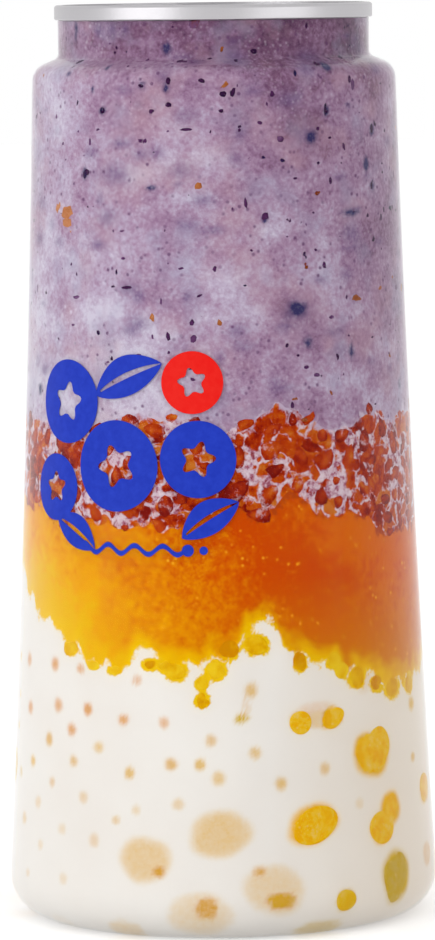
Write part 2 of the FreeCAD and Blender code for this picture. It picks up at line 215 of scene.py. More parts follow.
# Clear PET, blown against a polished mould: high gloss with a faint lazy waviness. Lamps reach
# the drink through it, so its shadow rays pass.
clear_plastic, tree, shader = new_material("clear_blown_plastic", Base_Color="#FFFFFF",
                                           Roughness=0.04, IOR=1.57, Transmission_Weight=1,
                                           Specular_Tint="#202020")
place = add_node(tree, "TexCoord").outputs["Object"]
waves = add_node(tree, "TexNoise", {"Vector": place, "Scale": across(22.2), "Detail": 1})
bump = add_node(tree, "Bump", {"Height": waves, "Strength": 0.15, "Distance": 0.6 * MM})
wire(tree, shader, {"Normal": bump})
shadows = add_node(tree, "LightPath").outputs["Is Shadow Ray"]
through = add_node(tree, "BsdfTransparent")
blend = add_node(tree, "MixShader", {0: shadows, 1: shader, 2: through})
wire(tree, tree.nodes["Material Output"], {"Surface": blend})
dress(can_wall, clear_plastic)
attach(can_wall, "root")
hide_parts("can_wall")


# ---------------------------------------------------------------- milk
# Sweet milk at the bottom of the can, opaque and creamy. Tapioca pearls lie in it: where one
# comes near the wall it shows as a soft tan spot, and where one is pressed on it, as an amber disc.

DRINK_SIDES = 360        # points round a layer, one for each degree
ROW = 0.6                # height of a row of points, mm
EDGE_REACH = 8           # how far from its edge a layer knows its distance, mm
drink_outline = wall_outline(WALL - SEAT, BASE_WALL - SEAT)
drink_radii, drink_heights = zip(*[point for point in drink_outline if point[0] > 25])


def drink_radius(height):
    """The drink's radius at a height, mm."""
    return np.interp(height, drink_heights, drink_radii)


def around(points):
    """A smooth closed line through (azimuth, height) points; azimuth is from the front to +X."""
    azimuths = np.array([point[0] for point in points], dtype=float)
    heights = np.array([point[1] for point in points], dtype=float)
    azimuths = np.concatenate((azimuths, azimuths[:1] + 360))
    heights = np.concatenate((heights, heights[:1]))

    def height_at(azimuth):
        turned_to = (np.asarray(azimuth) - azimuths[0]) % 360 + azimuths[0]
        index = np.clip(np.searchsorted(azimuths, turned_to, side="right") - 1, 0,
                        len(points) - 1)
        share = (turned_to - azimuths[index]) / (azimuths[index + 1] - azimuths[index])
        eased = share * share * (3 - 2 * share)
        return heights[index] + (heights[index + 1] - heights[index]) * eased

    return height_at


def ripple(seed, sizes):
    """A closed random ripple of (waves round the can, depth in mm) sizes."""
    chance = np.random.default_rng(seed)
    phases = chance.uniform(0, 2 * math.pi, len(sizes))

    def depth_at(azimuth):
        angle = np.radians(azimuth)
        return sum(depth * np.sin(waves * angle + phase)
                   for (waves, depth), phase in zip(sizes, phases))

    return depth_at


milk_line = around([(-80, 60), (-70, 56), (-62, 53), (-57, 52.4), (-52, 50.5), (-45, 48.6),
                    (-40, 47), (-34, 45.3), (-28, 45.7), (-23, 49.4), (-18, 48.1), (-13.5, 45.6),
                    (-9.5, 46), (-4, 47.6), (0.6, 46.8), (4.6, 49.1), (7.5, 52.3), (12.6, 53.9),
                    (17.4, 50.6), (22.4, 47.3), (28, 46.3), (34, 46.9), (37, 43.9), (43, 44.9),
                    (50, 41.5), (57, 41.1), (64.5, 41.3), (72, 41.8), (80, 43), (97, 47),
                    (116, 44), (135, 50), (155, 47), (176, 54), (196, 50), (216, 56), (237, 58),
                    (258, 62)])
milk_ripple = ripple(11, [(31, 0.35), (43, 0.35), (59, 0.3), (73, 0.2)])


def milk_top(azimuth):
    return milk_line(azimuth) + milk_ripple(azimuth)


def wall_rows(low, high):
    """Points up the drink's side from one height to another."""
    count = max(int(round((high - low) / ROW)), 1)
    heights = [low + (high - low) * row / count for row in range(count + 1)]
    return [(float(drink_radius(height)), height) for height in heights]


def inward(height, radius):
    """Points of a level surface from the wall to near the middle."""
    return [(radius * share, height) for share in (0.97, 0.9, 0.75, 0.55, 0.3, 0.08)]


def settle(piece, low, high):
    """Moves the level rims of a poured layer to their rolling lines, most at the wall."""
    spots = np.empty(len(piece.data.vertices) * 3)
    piece.data.vertices.foreach_get("co", spots)
    x, y, z = spots.reshape(-1, 3).T / MM
    azimuth, radius = np.degrees(np.arctan2(x, -y)), np.hypot(x, y)
    full = drink_radius(z)
    outward = np.clip(radius / full, 0, 1) ** 2
    share = np.clip((z - low[0]) / (high[0] - low[0]), 0, 1)
    shift = np.zeros(len(z))
    if low[1]:
        shift += (1 - share) * (low[1](azimuth) - low[0])
    if high[1]:
        shift += share * (high[1](azimuth) - high[0])
    moved = z + shift * outward
    spread = np.where(radius > 0.5 * full, drink_radius(moved) / full, 1)
    settled = np.stack((x * spread, y * spread, moved), axis=1) * MM
    piece.data.vertices.foreach_set("co", settled.ravel())
    piece.data.update()
    return settled / MM


def paint(piece, name, values):
    """Stores one number for each point of a piece, for its material to read."""
    layer = piece.data.attributes.new(name, "FLOAT", "POINT")
    layer.data.foreach_set("value", np.asarray(values, dtype=np.float32))


MILK_LEVEL = 49.0
FOOT_TOP = 7.5           # below it the milk follows the dome and the heel
STILL_LEVEL = 12         # below it the milk's points stay where they are
foot_part = [point for point in drink_outline if point[1] < FOOT_TOP]
milk = turned("milk_layer", foot_part + wall_rows(foot_part[-1][1] + ROW, MILK_LEVEL)
              + inward(MILK_LEVEL, float(drink_radius(MILK_LEVEL))), segments=DRINK_SIDES)
milk_spots = settle(milk, (STILL_LEVEL, None), (MILK_LEVEL, milk_top))


def azimuth_of(spots):
    return np.degrees(np.arctan2(spots[:, 0], -spots[:, 1]))


def above(spots, line):
    """How far points stand above a rolling line, mm."""
    return np.clip(spots[:, 2] - line(azimuth_of(spots)), -EDGE_REACH, EDGE_REACH)


# Drops of the mango above that hang at the wall, as (azimuth, height, half-width, half-height).
DROPS = [(-12.5, 45.2, 1.7, 1.5), (-1.5, 45.6, 1.7, 1.6), (-5.3, 43.3, 1.1, 1.0),
         (-5.1, 40.5, 1.2, 1.2), (9.5, 49.6, 2.2, 1.6), (2.5, 48.8, 1.6, 1.5),
         (-20, 46.4, 1.3, 1.1), (22.5, 46.6, 1.2, 1.9), (36, 44.8, 1.5, 1.6), (41, 43, 1.9, 1.7),
         (56, 40.4, 2.2, 1.8), (-31, 45.2, 1.4, 0.9), (66, 41, 1.6, 2.2), (-47, 48.2, 1.5, 1.2),
         (33, 46.2, 1.4, 1.4), (49, 41.6, 1.7, 1.4), (-16, 46.2, 1.2, 1.1), (-38, 46, 1.3, 1)]


def girth(height):
    """Millimetres round the side for one degree of azimuth."""
    return math.radians(1) * drink_radius(height)


def apart(azimuth, other):
    return (azimuth - other + 180) % 360 - 180


def drop_places():
    """All drops: those listed in front, and more behind."""
    chance = np.random.default_rng(21)
    placed = list(DROPS)
    for azimuth in np.arange(84, 290, 6):
        if chance.random() < 0.6:
            size = chance.uniform(0.9, 2.1)
            placed.append((azimuth, float(milk_line(azimuth)) - chance.uniform(-0.5, 1.5), size,
                           size * chance.uniform(0.8, 1.1)))
    return placed


drop_list = drop_places()
milk_azimuth, milk_girth = azimuth_of(milk_spots), girth(milk_spots[:, 2])
milk_edge = above(milk_spots, milk_top)
for azimuth, height, wide, high in drop_list:
    away = np.hypot(apart(milk_azimuth, azimuth) * milk_girth / wide,
                    (milk_spots[:, 2] - height) / high)
    milk_edge = np.maximum(milk_edge, (1.15 - away) * 4)
paint(milk, "edge", milk_edge)

LARGE = 1.5              # half-width of a whole pearl, mm; smaller ones are crumbs
# Each pearl is (azimuth, height, half-width, half-height, tone, how much it shows, tilt). Tone 0
# is a milky pinkish tan, 0.4 a yellowish tan, 0.8 an olive yellow and 1 a glassy amber.
PRESSED = [(22, 36.5, 2.0, 2.0, 0.97, 0.9, 0), (31.5, 36.8, 2.5, 2.0, 1, 1, 15),
           (27, 36.8, 2.8, 1.7, 0.35, 0.78, 0), (43.4, 30.9, 3.1, 2.9, 0.95, 1, 0),
           (48.6, 31.1, 2.9, 2.8, 0.95, 1, 0), (45.8, 29.2, 4.3, 3.3, 0.95, 1, 0),
           (25, 19.3, 4.9, 3.5, 1, 1, 18), (52.4, 20.4, 2.9, 3.0, 0.97, 1, 20),
           (48.4, 17.4, 3.3, 2.9, 0.97, 1, 30),
           (53.5, 8.8, 4.0, 4.7, 0.8, 1, 0), (34.2, 6.2, 2.1, 2.0, 0.84, 0.9, 0),
           (74.4, 21.8, 3.0, 2.6, 0.95, 0.9, 0), (73, 10.8, 2.4, 2.2, 0.6, 0.7, 0),
           (67, 36.9, 1.3, 1.3, 0.9, 0.9, 0), (28, 1.6, 4.6, 1.5, 0.8, 0.7, 0)]
VEILED = [(-0.7, 18.3, 5.4, 4.1, 0.42, 0.85, 10), (-21.3, 13.9, 4.8, 4.0, 0.4, 0.82, 0),
          (13.6, 8.8, 5.5, 4.3, 0.4, 0.72, -12), (-6.4, 5.0, 5.8, 3.8, 0.38, 0.66, 0),
          (-28.9, 1.8, 3.4, 1.9, 0.45, 0.65, 0), (-53.7, 1.6, 3.2, 1.4, 0.35, 0.35, 0),
          (43.5, 42.4, 1.9, 2.6, 0.2, 0.45, 0), (15.2, 6.9, 3.0, 1.5, 0.7, 1, 0),
          (9.6, 11.9, 1.4, 1.1, 0.58, 0.95, 0), (-17.3, 12.0, 1.3, 1.3, 0.62, 1, 0),
          (-4.5, 6.0, 2.2, 2.2, 0.6, 0.95, 0), (8.2, 42.1, 1.2, 1.4, 0.3, 1, 0),
          (6.8, 39.6, 0.8, 1.5, 0.2, 0.6, 20), (5.4, 37.5, 1.4, 0.9, 0.8, 1, 10),
          (27, 37.6, 4.2, 2.3, 0.1, 0.55, 0)]
DOTS = [(-54, 45.2), (-43, 45), (-24, 43.7), (-52, 38.4), (-40, 38.3), (-46, 34.6), (-28, 37),
        (-16, 36.8), (-56, 32.4), (-36, 32.1), (-45, 29.4), (-14, 29.9), (-3, 33.9), (9, 31.7),
        (-54, 25.3), (-26, 28.2), (-65, 28.1), (-41, 23.5), (-24, 22.1), (-12, 23.3),
        (-6, 29.9), (-1, 27.6), (16, 26.4), (29, 28.4), (66, 27.9), (-61, 21.4), (-49, 17.7),
        (-37, 16.5), (-59, 14.3), (-48, 9.4), (-30, 20.2), (-68, 37), (-70, 45), (-70, 18),
        (40, 22), (-66, 9)]


def pearl_places():
    """All pearls: those listed in front, and more of both kinds behind."""
    chance = np.random.default_rng(5)
    placed = list(PRESSED) + list(VEILED)
    for azimuth, height in DOTS:
        size = chance.uniform(0.9, 1.25)
        placed.append((azimuth, height, size, size * chance.uniform(0.9, 1.15),
                       0.05 if height > 34 else chance.uniform(0.2, 0.5),
                       chance.uniform(0.85, 1.1) if height > 26 else chance.uniform(0.6, 0.85), 0))
    for _ in range(1500):
        azimuth, height = chance.uniform(84, 286), chance.uniform(2, 50)
        large = chance.random() < 0.5 and height < 30
        wide = chance.uniform(3.2, 5.2) if large else chance.uniform(0.9, 1.3)
        high = wide * chance.uniform(0.75, 1.0)
        room = 1.25 if large else 2.6
        near = any(abs(height - other[1]) < (high + other[3]) * room
                   and abs(apart(azimuth, other[0])) * girth(height) < (wide + other[2]) * room
                   for other in placed)
        if near or height > milk_line(azimuth) - 3:
            continue
        placed.append((azimuth, height, wide, high, chance.choice([0.2, 0.4, 0.8, 0.95, 1]),
                       chance.uniform(0.6, 1), chance.uniform(-40, 40)))
    return placed


pearls = pearl_places()
thin, tone = np.zeros(len(milk_spots)), np.zeros(len(milk_spots))
for azimuth, height, wide, high, colour, strength, tilt in pearls:
    soft = 0.55 if wide < LARGE else 0.25
    along, up = apart(milk_azimuth, azimuth) * milk_girth, milk_spots[:, 2] - height
    cosine, sine = math.cos(math.radians(tilt)), math.sin(math.radians(tilt))
    along, up = (along * cosine + up * sine) / wide, (up * cosine - along * sine) / high
    bearing = np.arctan2(up, along)
    away = np.hypot(along, up) * (1 + 0.03 * np.sin(3 * bearing + azimuth)
                                  + 0.02 * np.sin(5 * bearing + height))
    with np.errstate(over="ignore"):       # far from a pearl this comes to 0
        shown = strength / (1 + np.exp((away - 1) / (soft * 0.35)))
    tone = np.where(shown > thin * 0.75, colour, tone)
    thin = np.maximum(thin, shown)
paint(milk, "thin", thin)
paint(milk, "tone", tone)


def unevenness(tree, place, size, swing, detail=2, roughness=0.5, distortion=0):
    """Noise with a grain of size mm, which runs from half the swing below 0 to half above."""
    noise = add_node(tree, "TexNoise", {"Vector": place, "Scale": across(size), "Detail": detail,
                                        "Roughness": roughness, "Distortion": distortion})
    return add_node(tree, "Math", {0: noise, 1: swing, 2: -swing / 2}, operation="MULTIPLY_ADD")


def ragged_share(tree, place, attribute, size=2.38, swing=5.0):
    """0 below a poured layer's edge and 1 above it, with the edge broken up as by bubbles."""
    edge = add_node(tree, "Attribute", attribute_name=attribute).outputs["Fac"]
    sway = unevenness(tree, place, size, swing, 4, 0.65, 0.3)
    swayed = add_node(tree, "Math", {0: unevenness(tree, place, 0.667, 2.2), 1: sway})
    field = add_node(tree, "Math", {0: edge, 1: swayed})
    return add_node(tree, "MapRange", {"Value": field, "From Min": -0.7, "From Max": 0.5},
                    interpolation_type="SMOOTHSTEP")


# What a pearl's tone looks like through the milk.
PEARL_TONES = [(0, "#E0A874"), (0.3, "#E4C48A"), (0.45, "#E6C582"), (0.62, "#DEAA4C"),
               (0.8, "#D6B410"), (1, "#F0BC00")]

# Whole milk: an opaque warm white, with pearls showing through where it is thin. The grain
# breaks the edge of each spot, as starch and bubbles do.
milk_white, tree, shader = new_material("sweet_milk", Roughness=0.5, Specular_IOR_Level=0.02)
place = add_node(tree, "TexCoord").outputs["Object"]
cloud = add_node(tree, "TexNoise", {"Vector": place, "Scale": across(14.3), "Detail": 2})
white = add_node(tree, "Mix", {0: cloud, 6: "#F4F2EE", 7: "#EDE8E2"})
axes = add_node(tree, "SeparateXYZ", {0: place})
# Painted shade: the milk is tinted warmer and a little darker towards the right, away from the key
# lamp.
warm_shade_to_right = add_node(tree, "MapRange", {"Value": axes.outputs["X"], "From Min": 8 * MM,
                                     "From Max": 34 * MM, "To Max": 0.6})
white = add_node(tree, "Mix", {0: warm_shade_to_right, 6: white, 7: "#F0E2CF"})
grain = unevenness(tree, place, 1, 0.6, 3, 0.7)
veil = add_node(tree, "Attribute", attribute_name="thin").outputs["Fac"]
veiled = add_node(tree, "Math", {0: veil, 1: grain})
faded = add_node(tree, "Math", {0: veiled, 1: veil}, operation="MULTIPLY")
soft = add_node(tree, "MapRange", {"Value": faded, "From Min": 0.02, "From Max": 0.95})
tone_at = add_node(tree, "Attribute", attribute_name="tone").outputs["Fac"]
tone_sum = add_node(tree, "Math", {0: grain, 1: 0.35, 2: tone_at}, operation="MULTIPLY_ADD")
pearly = add_node(tree, "ValToRGB", {0: tone_sum}, PEARL_TONES)
spotted = add_node(tree, "Mix", {0: soft, 6: white, 7: pearly})
fringe = ragged_share(tree, place, "edge")
fringed = add_node(tree, "Mix", {0: fringe, 6: spotted, 7: "#F0CA10"})
wire(tree, shader, {"Base Color": fringed})
dress(milk, milk_white)
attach(milk, "root")
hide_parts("milk")


# ---------------------------------------------------------------- tapioca pearls
# Boiled tapioca balls and crumbs, 2 to 12 mm across, chewy and a little see-through. Those at
# the wall are pressed flat against it, and the rest show only as shadows in the milk.

def mesh_from(name, parts):
    """Joins (points in mm, faces, tint) parts to one piece, with a tint for each point."""
    points, faces, tints, start = [], [], [], 0
    for spots, sides, tint in parts:
        points.append(spots)
        faces += [tuple(corner + start for corner in side) for side in sides]
        tints.append(np.broadcast_to(tint, len(spots)))
        start += len(spots)
    mesh = bpy.data.meshes.new(name)
    mesh.from_pydata((np.concatenate(points) * MM).tolist(), [], faces)
    mesh.polygons.foreach_set("use_smooth", [True] * len(mesh.polygons))
    piece = bpy.data.objects.new(name, mesh)
    bpy.context.collection.objects.link(piece)
    paint(piece, "tint", np.concatenate(tints))
    return piece


def taken_apart(piece):
    """The points and faces of a modelled piece, which then goes."""
    points = np.array([tuple(vertex.co) for vertex in piece.data.vertices])
    faces = [tuple(polygon.vertices) for polygon in piece.data.polygons]
    bpy.data.objects.remove(piece, do_unlink=True)
    return points, faces


def modelled_ball(segments, rings):
    """Points and faces of one ball of radius 1, to be copied."""
    deselect()
    bpy.ops.mesh.primitive_uv_sphere_add(segments=segments, ring_count=rings, radius=1)
    return taken_apart(bpy.context.object)


def lumpy(points, seed, depth):
    """Pushes the points of a unit ball in and out by slow waves."""
    chance = np.random.default_rng(seed)
    grown = np.ones(len(points))
    for _ in range(5):
        way = chance.normal(size=3)
        grown += depth * np.sin(points @ way * 1.6 + chance.uniform(0, 6)) / 2
    return points * grown[:, None]


def wrapped(points, azimuth, height, proud, radius_at=drink_radius):
    """Lays points of (along, up, out) millimetres on a round side at one place."""
    level = height + points[:, 1]
    angle = np.radians(azimuth) + points[:, 0] / float(radius_at(height))
    out = radius_at(level) + points[:, 2] + proud
    return np.stack((out * np.sin(angle), -out * np.cos(angle), level), axis=1)


PRESS_PROUD = 0.06       # how far a pressed pearl stands beyond the milk, still inside the wall
PEARL_FLOOR = 1.1        # lowest height of a pearl, which rests on the base
large_ball, small_ball = modelled_ball(32, 20), modelled_ball(16, 10)
parts = []
for index, (azimuth, height, wide, high, colour, strength, tilt) in enumerate(pearls):
    pressed = colour > 0.7 and strength > 0.8 and wide > LARGE
    ball_points, ball_faces = large_ball if wide > LARGE else small_ball
    deep = min(wide, high) * (1.25 if wide > LARGE else 1.6)
    shaped = lumpy(ball_points, 40 + index, 0.14) * (wide * 1.1, high * 1.1, deep)
    spots = shaped @ np.array(Matrix.Rotation(math.radians(-tilt), 3, "Z"))
    spots[:, 2] = np.minimum(spots[:, 2] - deep * 0.55, PRESS_PROUD if pressed else -0.12)
    spots[:, 1] = np.maximum(spots[:, 1], PEARL_FLOOR - height)
    parts.append((wrapped(spots, azimuth, height, 0), ball_faces, colour))
pearl_piece = mesh_from("tapioca_pearls", parts)

# Cooked tapioca: amber starch with a grainy, slightly darker rim, and pale dots like tiny bubbles
# that are painted glints.
tapioca, tree, shader = new_material("boiled_tapioca", Roughness=0.3, Specular_IOR_Level=0.05)
place = add_node(tree, "TexCoord").outputs["Object"]
tint = add_node(tree, "Attribute", attribute_name="tint").outputs["Fac"]
mottle = add_node(tree, "TexNoise", {"Vector": place, "Scale": across(2.38), "Detail": 5,
                                     "Roughness": 0.8})
swing = add_node(tree, "Math", {0: mottle, 1: -1.9, 2: 0.9}, operation="MULTIPLY_ADD")
tone_sum = add_node(tree, "Math", {0: swing, 1: tint})
amber = add_node(tree, "ValToRGB", {0: tone_sum}, [(0, "#EFD08C"), (0.5, "#EFCC6C"),
                                                   (0.75, "#EFC838"), (0.9, "#F0C410"),
                                                   (1, "#EEB600")])
olive = add_node(tree, "MapRange", {"Value": tint, "From Min": 0.86, "From Max": 0.8,
                                    "To Max": 0.55})
greened = add_node(tree, "Mix", {0: olive, 6: amber, 7: "#B39A0E"})
# Painted glints: a pale dot in each 1.25 mm cell, shaped like a tiny bubble in the starch.
glint_cells = add_node(tree, "TexVoronoi", {"Vector": place, "Scale": across(1.25)})
bubble_and_glint = add_node(tree, "MapRange", {"Value": glint_cells, "From Min": 0.05, "From Max": 0.22,
                                     "To Min": 0.5, "To Max": 0})
glinted = add_node(tree, "Mix", {0: bubble_and_glint, 6: greened, 7: "#EBD08A"})
wire(tree, shader, {"Base Color": glinted})
dress(pearl_piece, tapioca)
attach(pearl_piece, "root")


# ---------------------------------------------------------------- mango
# Mango puree, poured on the milk and hanging into it in lobes and drops: bright yellow where it is
# thin, at the left and along the lower edge, and deep orange where it is thick. Its turn from yellow
# at the left to orange at the right is partly its own colour and partly painted shade.

MANGO_LEVEL = 70.0
mango_line = around([(-80, 72), (-62, 71.4), (-57, 70.1), (-44, 69.3), (-36, 69.5), (-27, 69.1),
                     (-17, 68.8), (-13, 69.3), (-4, 71.6), (1.3, 72.7), (7.7, 71.9), (12, 70.9),
                     (15.5, 71.5), (18, 73.7), (22.5, 74.7), (26, 72.8), (29, 70.5), (36, 70.4),
                     (48, 69.9), (52, 68.1), (56, 66.3), (64, 66.3), (72, 67), (80, 67.5),
                     (100, 69), (130, 72), (160, 69.5), (200, 72), (240, 70)])
mango_ripple = ripple(12, [(17, 0.3), (29, 0.35), (53, 0.3), (73, 0.25)])


def mango_top(azimuth):
    return mango_line(azimuth) + mango_ripple(azimuth)


def poured(name, low, high, low_line, high_line):
    """A layer between two rolling lines, with its levels before they are settled."""
    underside = inward(low, float(drink_radius(low)))[::-1]
    upper_side = inward(high, float(drink_radius(high)))
    piece = turned(name, underside + wall_rows(low, high) + upper_side, segments=DRINK_SIDES)
    return piece, settle(piece, (low, low_line), (high, high_line))


mango, mango_spots = poured("mango_layer", MILK_LEVEL, MANGO_LEVEL, milk_top, mango_top)
paint(mango, "edge", above(mango_spots, milk_top))
paint(mango, "upper_edge", above(mango_spots, mango_top))


def mango_tones(tree, place):
    """Orange deepens from the left towards the front right and upwards, with fine bubbles; the
    deepening to the right is partly painted shade.
    """
    axes = add_node(tree, "SeparateXYZ", {0: place})
    # Partly painted shade: the puree darkens towards the right, away from the key lamp, on top of its
    # own change from yellow to orange.
    sideways = add_node(tree, "MapRange", {"Value": axes.outputs["X"], "From Min": -34 * MM,
                                           "From Max": 29 * MM})
    upward = add_node(tree, "MapRange", {"Value": axes.outputs["Z"], "From Min": 44 * MM,
                                         "From Max": 70 * MM, "To Min": -0.2, "To Max": 0.17})
    total = sideways
    for value in (unevenness(tree, place, 12.5, 0.8, 8, 0.72, 0.5), upward,
                  unevenness(tree, place, 1.176, 0.7, 3, 0.7)):
        total = add_node(tree, "Math", {0: total, 1: value})
    orange = add_node(tree, "ValToRGB", {0: total},
                      [(0, "#F0C600"), (0.2, "#F0B000"), (0.4, "#E69200"), (0.54, "#DC7000"),
                       (0.7, "#D45000"), (0.86, "#D65A00"), (1, "#E07400")])
    low = add_node(tree, "MapRange", {"Value": axes.outputs["Z"], "From Min": 44 * MM,
                                      "From Max": 61 * MM, "To Min": 0.8, "To Max": 0})
    lower = add_node(tree, "Math", {0: low, 1: sideways}, operation="MULTIPLY")
    orange = add_node(tree, "Mix", {0: lower, 6: orange, 7: "#E09A00"})
    patchy = add_node(tree, "TexNoise", {"Vector": place, "Scale": across(3.03), "Detail": 2})
    present = add_node(tree, "MapRange", {"Value": patchy, "From Min": 0.48, "From Max": 0.62})
    froth = add_node(tree, "TexVoronoi", {"Vector": place, "Scale": across(1.333)})
    bubble_and_glint = add_node(tree, "MapRange", {"Value": froth, "From Min": 0.08, "From Max": 0.28,
                                         "To Min": 0.85, "To Max": 0})
    frothy = add_node(tree, "Math", {0: bubble_and_glint, 1: present}, operation="MULTIPLY")
    return add_node(tree, "Mix", {0: frothy, 6: orange, 7: "#F8C42C"})


# Sieved mango: smooth and wet, with fine bubbles, and bright yellow where it thins out below.
mango_orange, tree, shader = new_material("mango_puree", Roughness=0.45, Specular_IOR_Level=0.02)
place = add_node(tree, "TexCoord").outputs["Object"]
edge = add_node(tree, "Attribute", attribute_name="edge").outputs["Fac"]
ruffle = add_node(tree, "TexNoise", {"Vector": place, "Scale": across(3.846), "Detail": 4,
                                     "Roughness": 0.6})
ruffled = add_node(tree, "Math", {0: ruffle, 1: -9, 2: edge}, operation="MULTIPLY_ADD")
fringe = add_node(tree, "MapRange", {"Value": ruffled, "From Min": -4.5, "From Max": -0.5,
                                     "To Min": 0.9, "To Max": 0})
yellowed = add_node(tree, "Mix", {0: fringe, 6: mango_tones(tree, place), 7: "#F2CC00"})
lower = ragged_share(tree, place, "edge")
milky = add_node(tree, "Mix", {0: lower, 6: "#F1ECE4", 7: yellowed})
upper = ragged_share(tree, place, "upper_edge", 4.76, 10)
reddened = add_node(tree, "Mix", {0: upper, 6: milky, 7: "#BC4C14"})
wire(tree, shader, {"Base Color": reddened})
dress(mango, mango_orange)
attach(mango, "root")
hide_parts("mango")


# ---------------------------------------------------------------- mango drops
# Drops and lobes of the mango puree, 2 to 4 mm across, that have come off its lower edge and
# hang in the milk at the wall.

chance = np.random.default_rng(22)
drop_points, drop_faces = modelled_ball(24, 14)
parts = []
for index, (azimuth, height, wide, high) in enumerate(drop_list):
    shaped = lumpy(drop_points, 300 + index, 0.2) * (wide, high, 0.6)
    shaped[:, 2] = np.minimum(shaped[:, 2], 0.3)
    parts.append((wrapped(shaped, azimuth, height, -0.24), drop_faces, chance.random()))
drops = mesh_from("mango_drops", parts)

def tinted(tree, place, size, swing, detail, roughness, stops):
    """A piece's own tint, made uneven by a fine grain and turned to a colour."""
    tint = add_node(tree, "Attribute", attribute_name="tint").outputs["Fac"]
    summed = add_node(tree, "Math", {0: unevenness(tree, place, size, swing, detail, roughness),
                                     1: tint})
    return add_node(tree, "ValToRGB", {0: summed}, stops)


# The same puree, thinner, so yellow, with a darker middle.
mango_yellow, tree, shader = new_material("mango_puree_thin", Roughness=0.45,
                                          Specular_IOR_Level=0.02)
place = add_node(tree, "TexCoord").outputs["Object"]
yellow = tinted(tree, place, 2.083, 2.4, 4, 0.7, [(0, "#F0D024"), (0.5, "#E8B806"), (1, "#D89400")])
wire(tree, shader, {"Base Color": yellow})
dress(drops, mango_yellow)
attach(drops, "root")


# ---------------------------------------------------------------- citrus pulp
# A band of grapefruit and orange pulp: juice sacs packed in pinkish cream that has run down
# from the smoothie. The cream is the layer's body, and the sacs are pieces of their own.

PULP_LEVEL = 85.0
pulp_line = around([(-82, 85.4), (-64, 86.2), (-53, 86.1), (-43, 85.5), (-32, 86.8), (-20, 87.5),
                    (-10, 87.1), (-4, 85.4), (1.4, 83.8), (6.7, 86.2), (12, 87.1), (17, 90),
                    (20.5, 88.2), (26, 87.6), (30, 85.8), (38, 83.9), (43.6, 85.8), (54, 87.5),
                    (65, 85.2), (80, 86.5), (95, 85), (120, 88), (150, 84), (180, 87),
                    (215, 85), (250, 88)])
pulp_ripple = ripple(13, [(23, 0.35), (41, 0.4), (67, 0.3)])


def pulp_top(azimuth):
    return pulp_line(azimuth) + pulp_ripple(azimuth)


pulp, pulp_spots = poured("pulp_cream", MANGO_LEVEL, PULP_LEVEL, mango_top, pulp_top)
paint(pulp, "edge", above(pulp_spots, mango_top))
paint(pulp, "upper_edge", above(pulp_spots, pulp_top))

# Crushed pulp in cream: skins of broken sacs, orange to dark red, between thin walls and larger
# pools of pinkish white. The cream turns mauve towards the smoothie.
stained_cream, tree, shader = new_material("stained_cream", Roughness=0.5, Specular_IOR_Level=0.02)
place = add_node(tree, "TexCoord").outputs["Object"]
warp = add_node(tree, "TexNoise", {"Vector": place, "Scale": across(3.03), "Detail": 3})
shift = add_node(tree, "VectorMath", {0: warp.outputs["Color"], 1: (4.2 * MM,) * 3, 2: place},
                 operation="MULTIPLY_ADD")
cells = add_node(tree, "TexVoronoi", {"Vector": shift, "Scale": across(3.03)},
                 feature="DISTANCE_TO_EDGE")
tints = add_node(tree, "TexVoronoi", {"Vector": shift, "Scale": across(3.03)}).outputs["Color"]
hue = add_node(tree, "Math", {0: tints, 1: unevenness(tree, place, 1.613, 2.2, 4, 0.7)})
SAC_TONES = [(0, "#84160C"), (0.25, "#A82A08"), (0.5, "#C04408"), (0.75, "#CA5E10"),
             (1, "#D27E2C")]
skins = add_node(tree, "ValToRGB", {0: hue}, SAC_TONES)
blush = add_node(tree, "TexNoise", {"Vector": place, "Scale": across(1.25), "Detail": 3,
                                    "Roughness": 0.7})
cream = add_node(tree, "ValToRGB", {0: blush}, [(0.36, "#E8DCE4"), (0.52, "#D6BECA"),
                                                (0.61, "#B07088"), (0.7, "#8E3C3E")])
pools = add_node(tree, "TexNoise", {"Vector": place, "Scale": across(7.69), "Detail": 4,
                                    "Roughness": 0.65})
pooled = add_node(tree, "Math", {0: pools, 1: -1.5, 2: cells}, operation="MULTIPLY_ADD")
skin_share = add_node(tree, "MapRange", {"Value": pooled, "From Min": -0.73, "From Max": -0.63})
crushed = add_node(tree, "Mix", {0: skin_share, 6: cream, 7: skins})
upper = ragged_share(tree, place, "upper_edge", 4.17, 9)
mauve = add_node(tree, "Mix", {0: upper, 6: crushed, 7: "#C8B8CE"})
lower = ragged_share(tree, place, "edge", 3.33, 6)
bottom = add_node(tree, "Mix", {0: lower, 6: mango_tones(tree, place), 7: mauve})
wire(tree, shader, {"Base Color": bottom})
dress(pulp, stained_cream)
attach(pulp, "root")
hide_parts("pulp")


# ---------------------------------------------------------------- juice sacs
# Single juice sacs of the citrus, teardrop skins full of juice, 2 to 6 mm long, lying flat
# against the wall in every direction with cream between them.

def sac_shape(taper):
    """A flat teardrop of half-length 1 along, pointed at one end."""
    points, faces = modelled_ball(8, 8)
    lying = points[:, [2, 1, 0]].copy()
    along = lying[:, 0]
    lying[:, 1] *= 1 - taper * along
    lying[:, 2] *= 1 - 0.4 * taper * along
    return lying, [side[::-1] for side in faces]


def axis_spots(azimuth, height, angle, long):
    """Three spots along a sac's axis, in millimetres round the side."""
    middle = np.array((azimuth * float(girth(height)), height))
    way = np.array((math.cos(angle), math.sin(angle))) * long * 0.6
    return [middle - way, middle, middle + way]


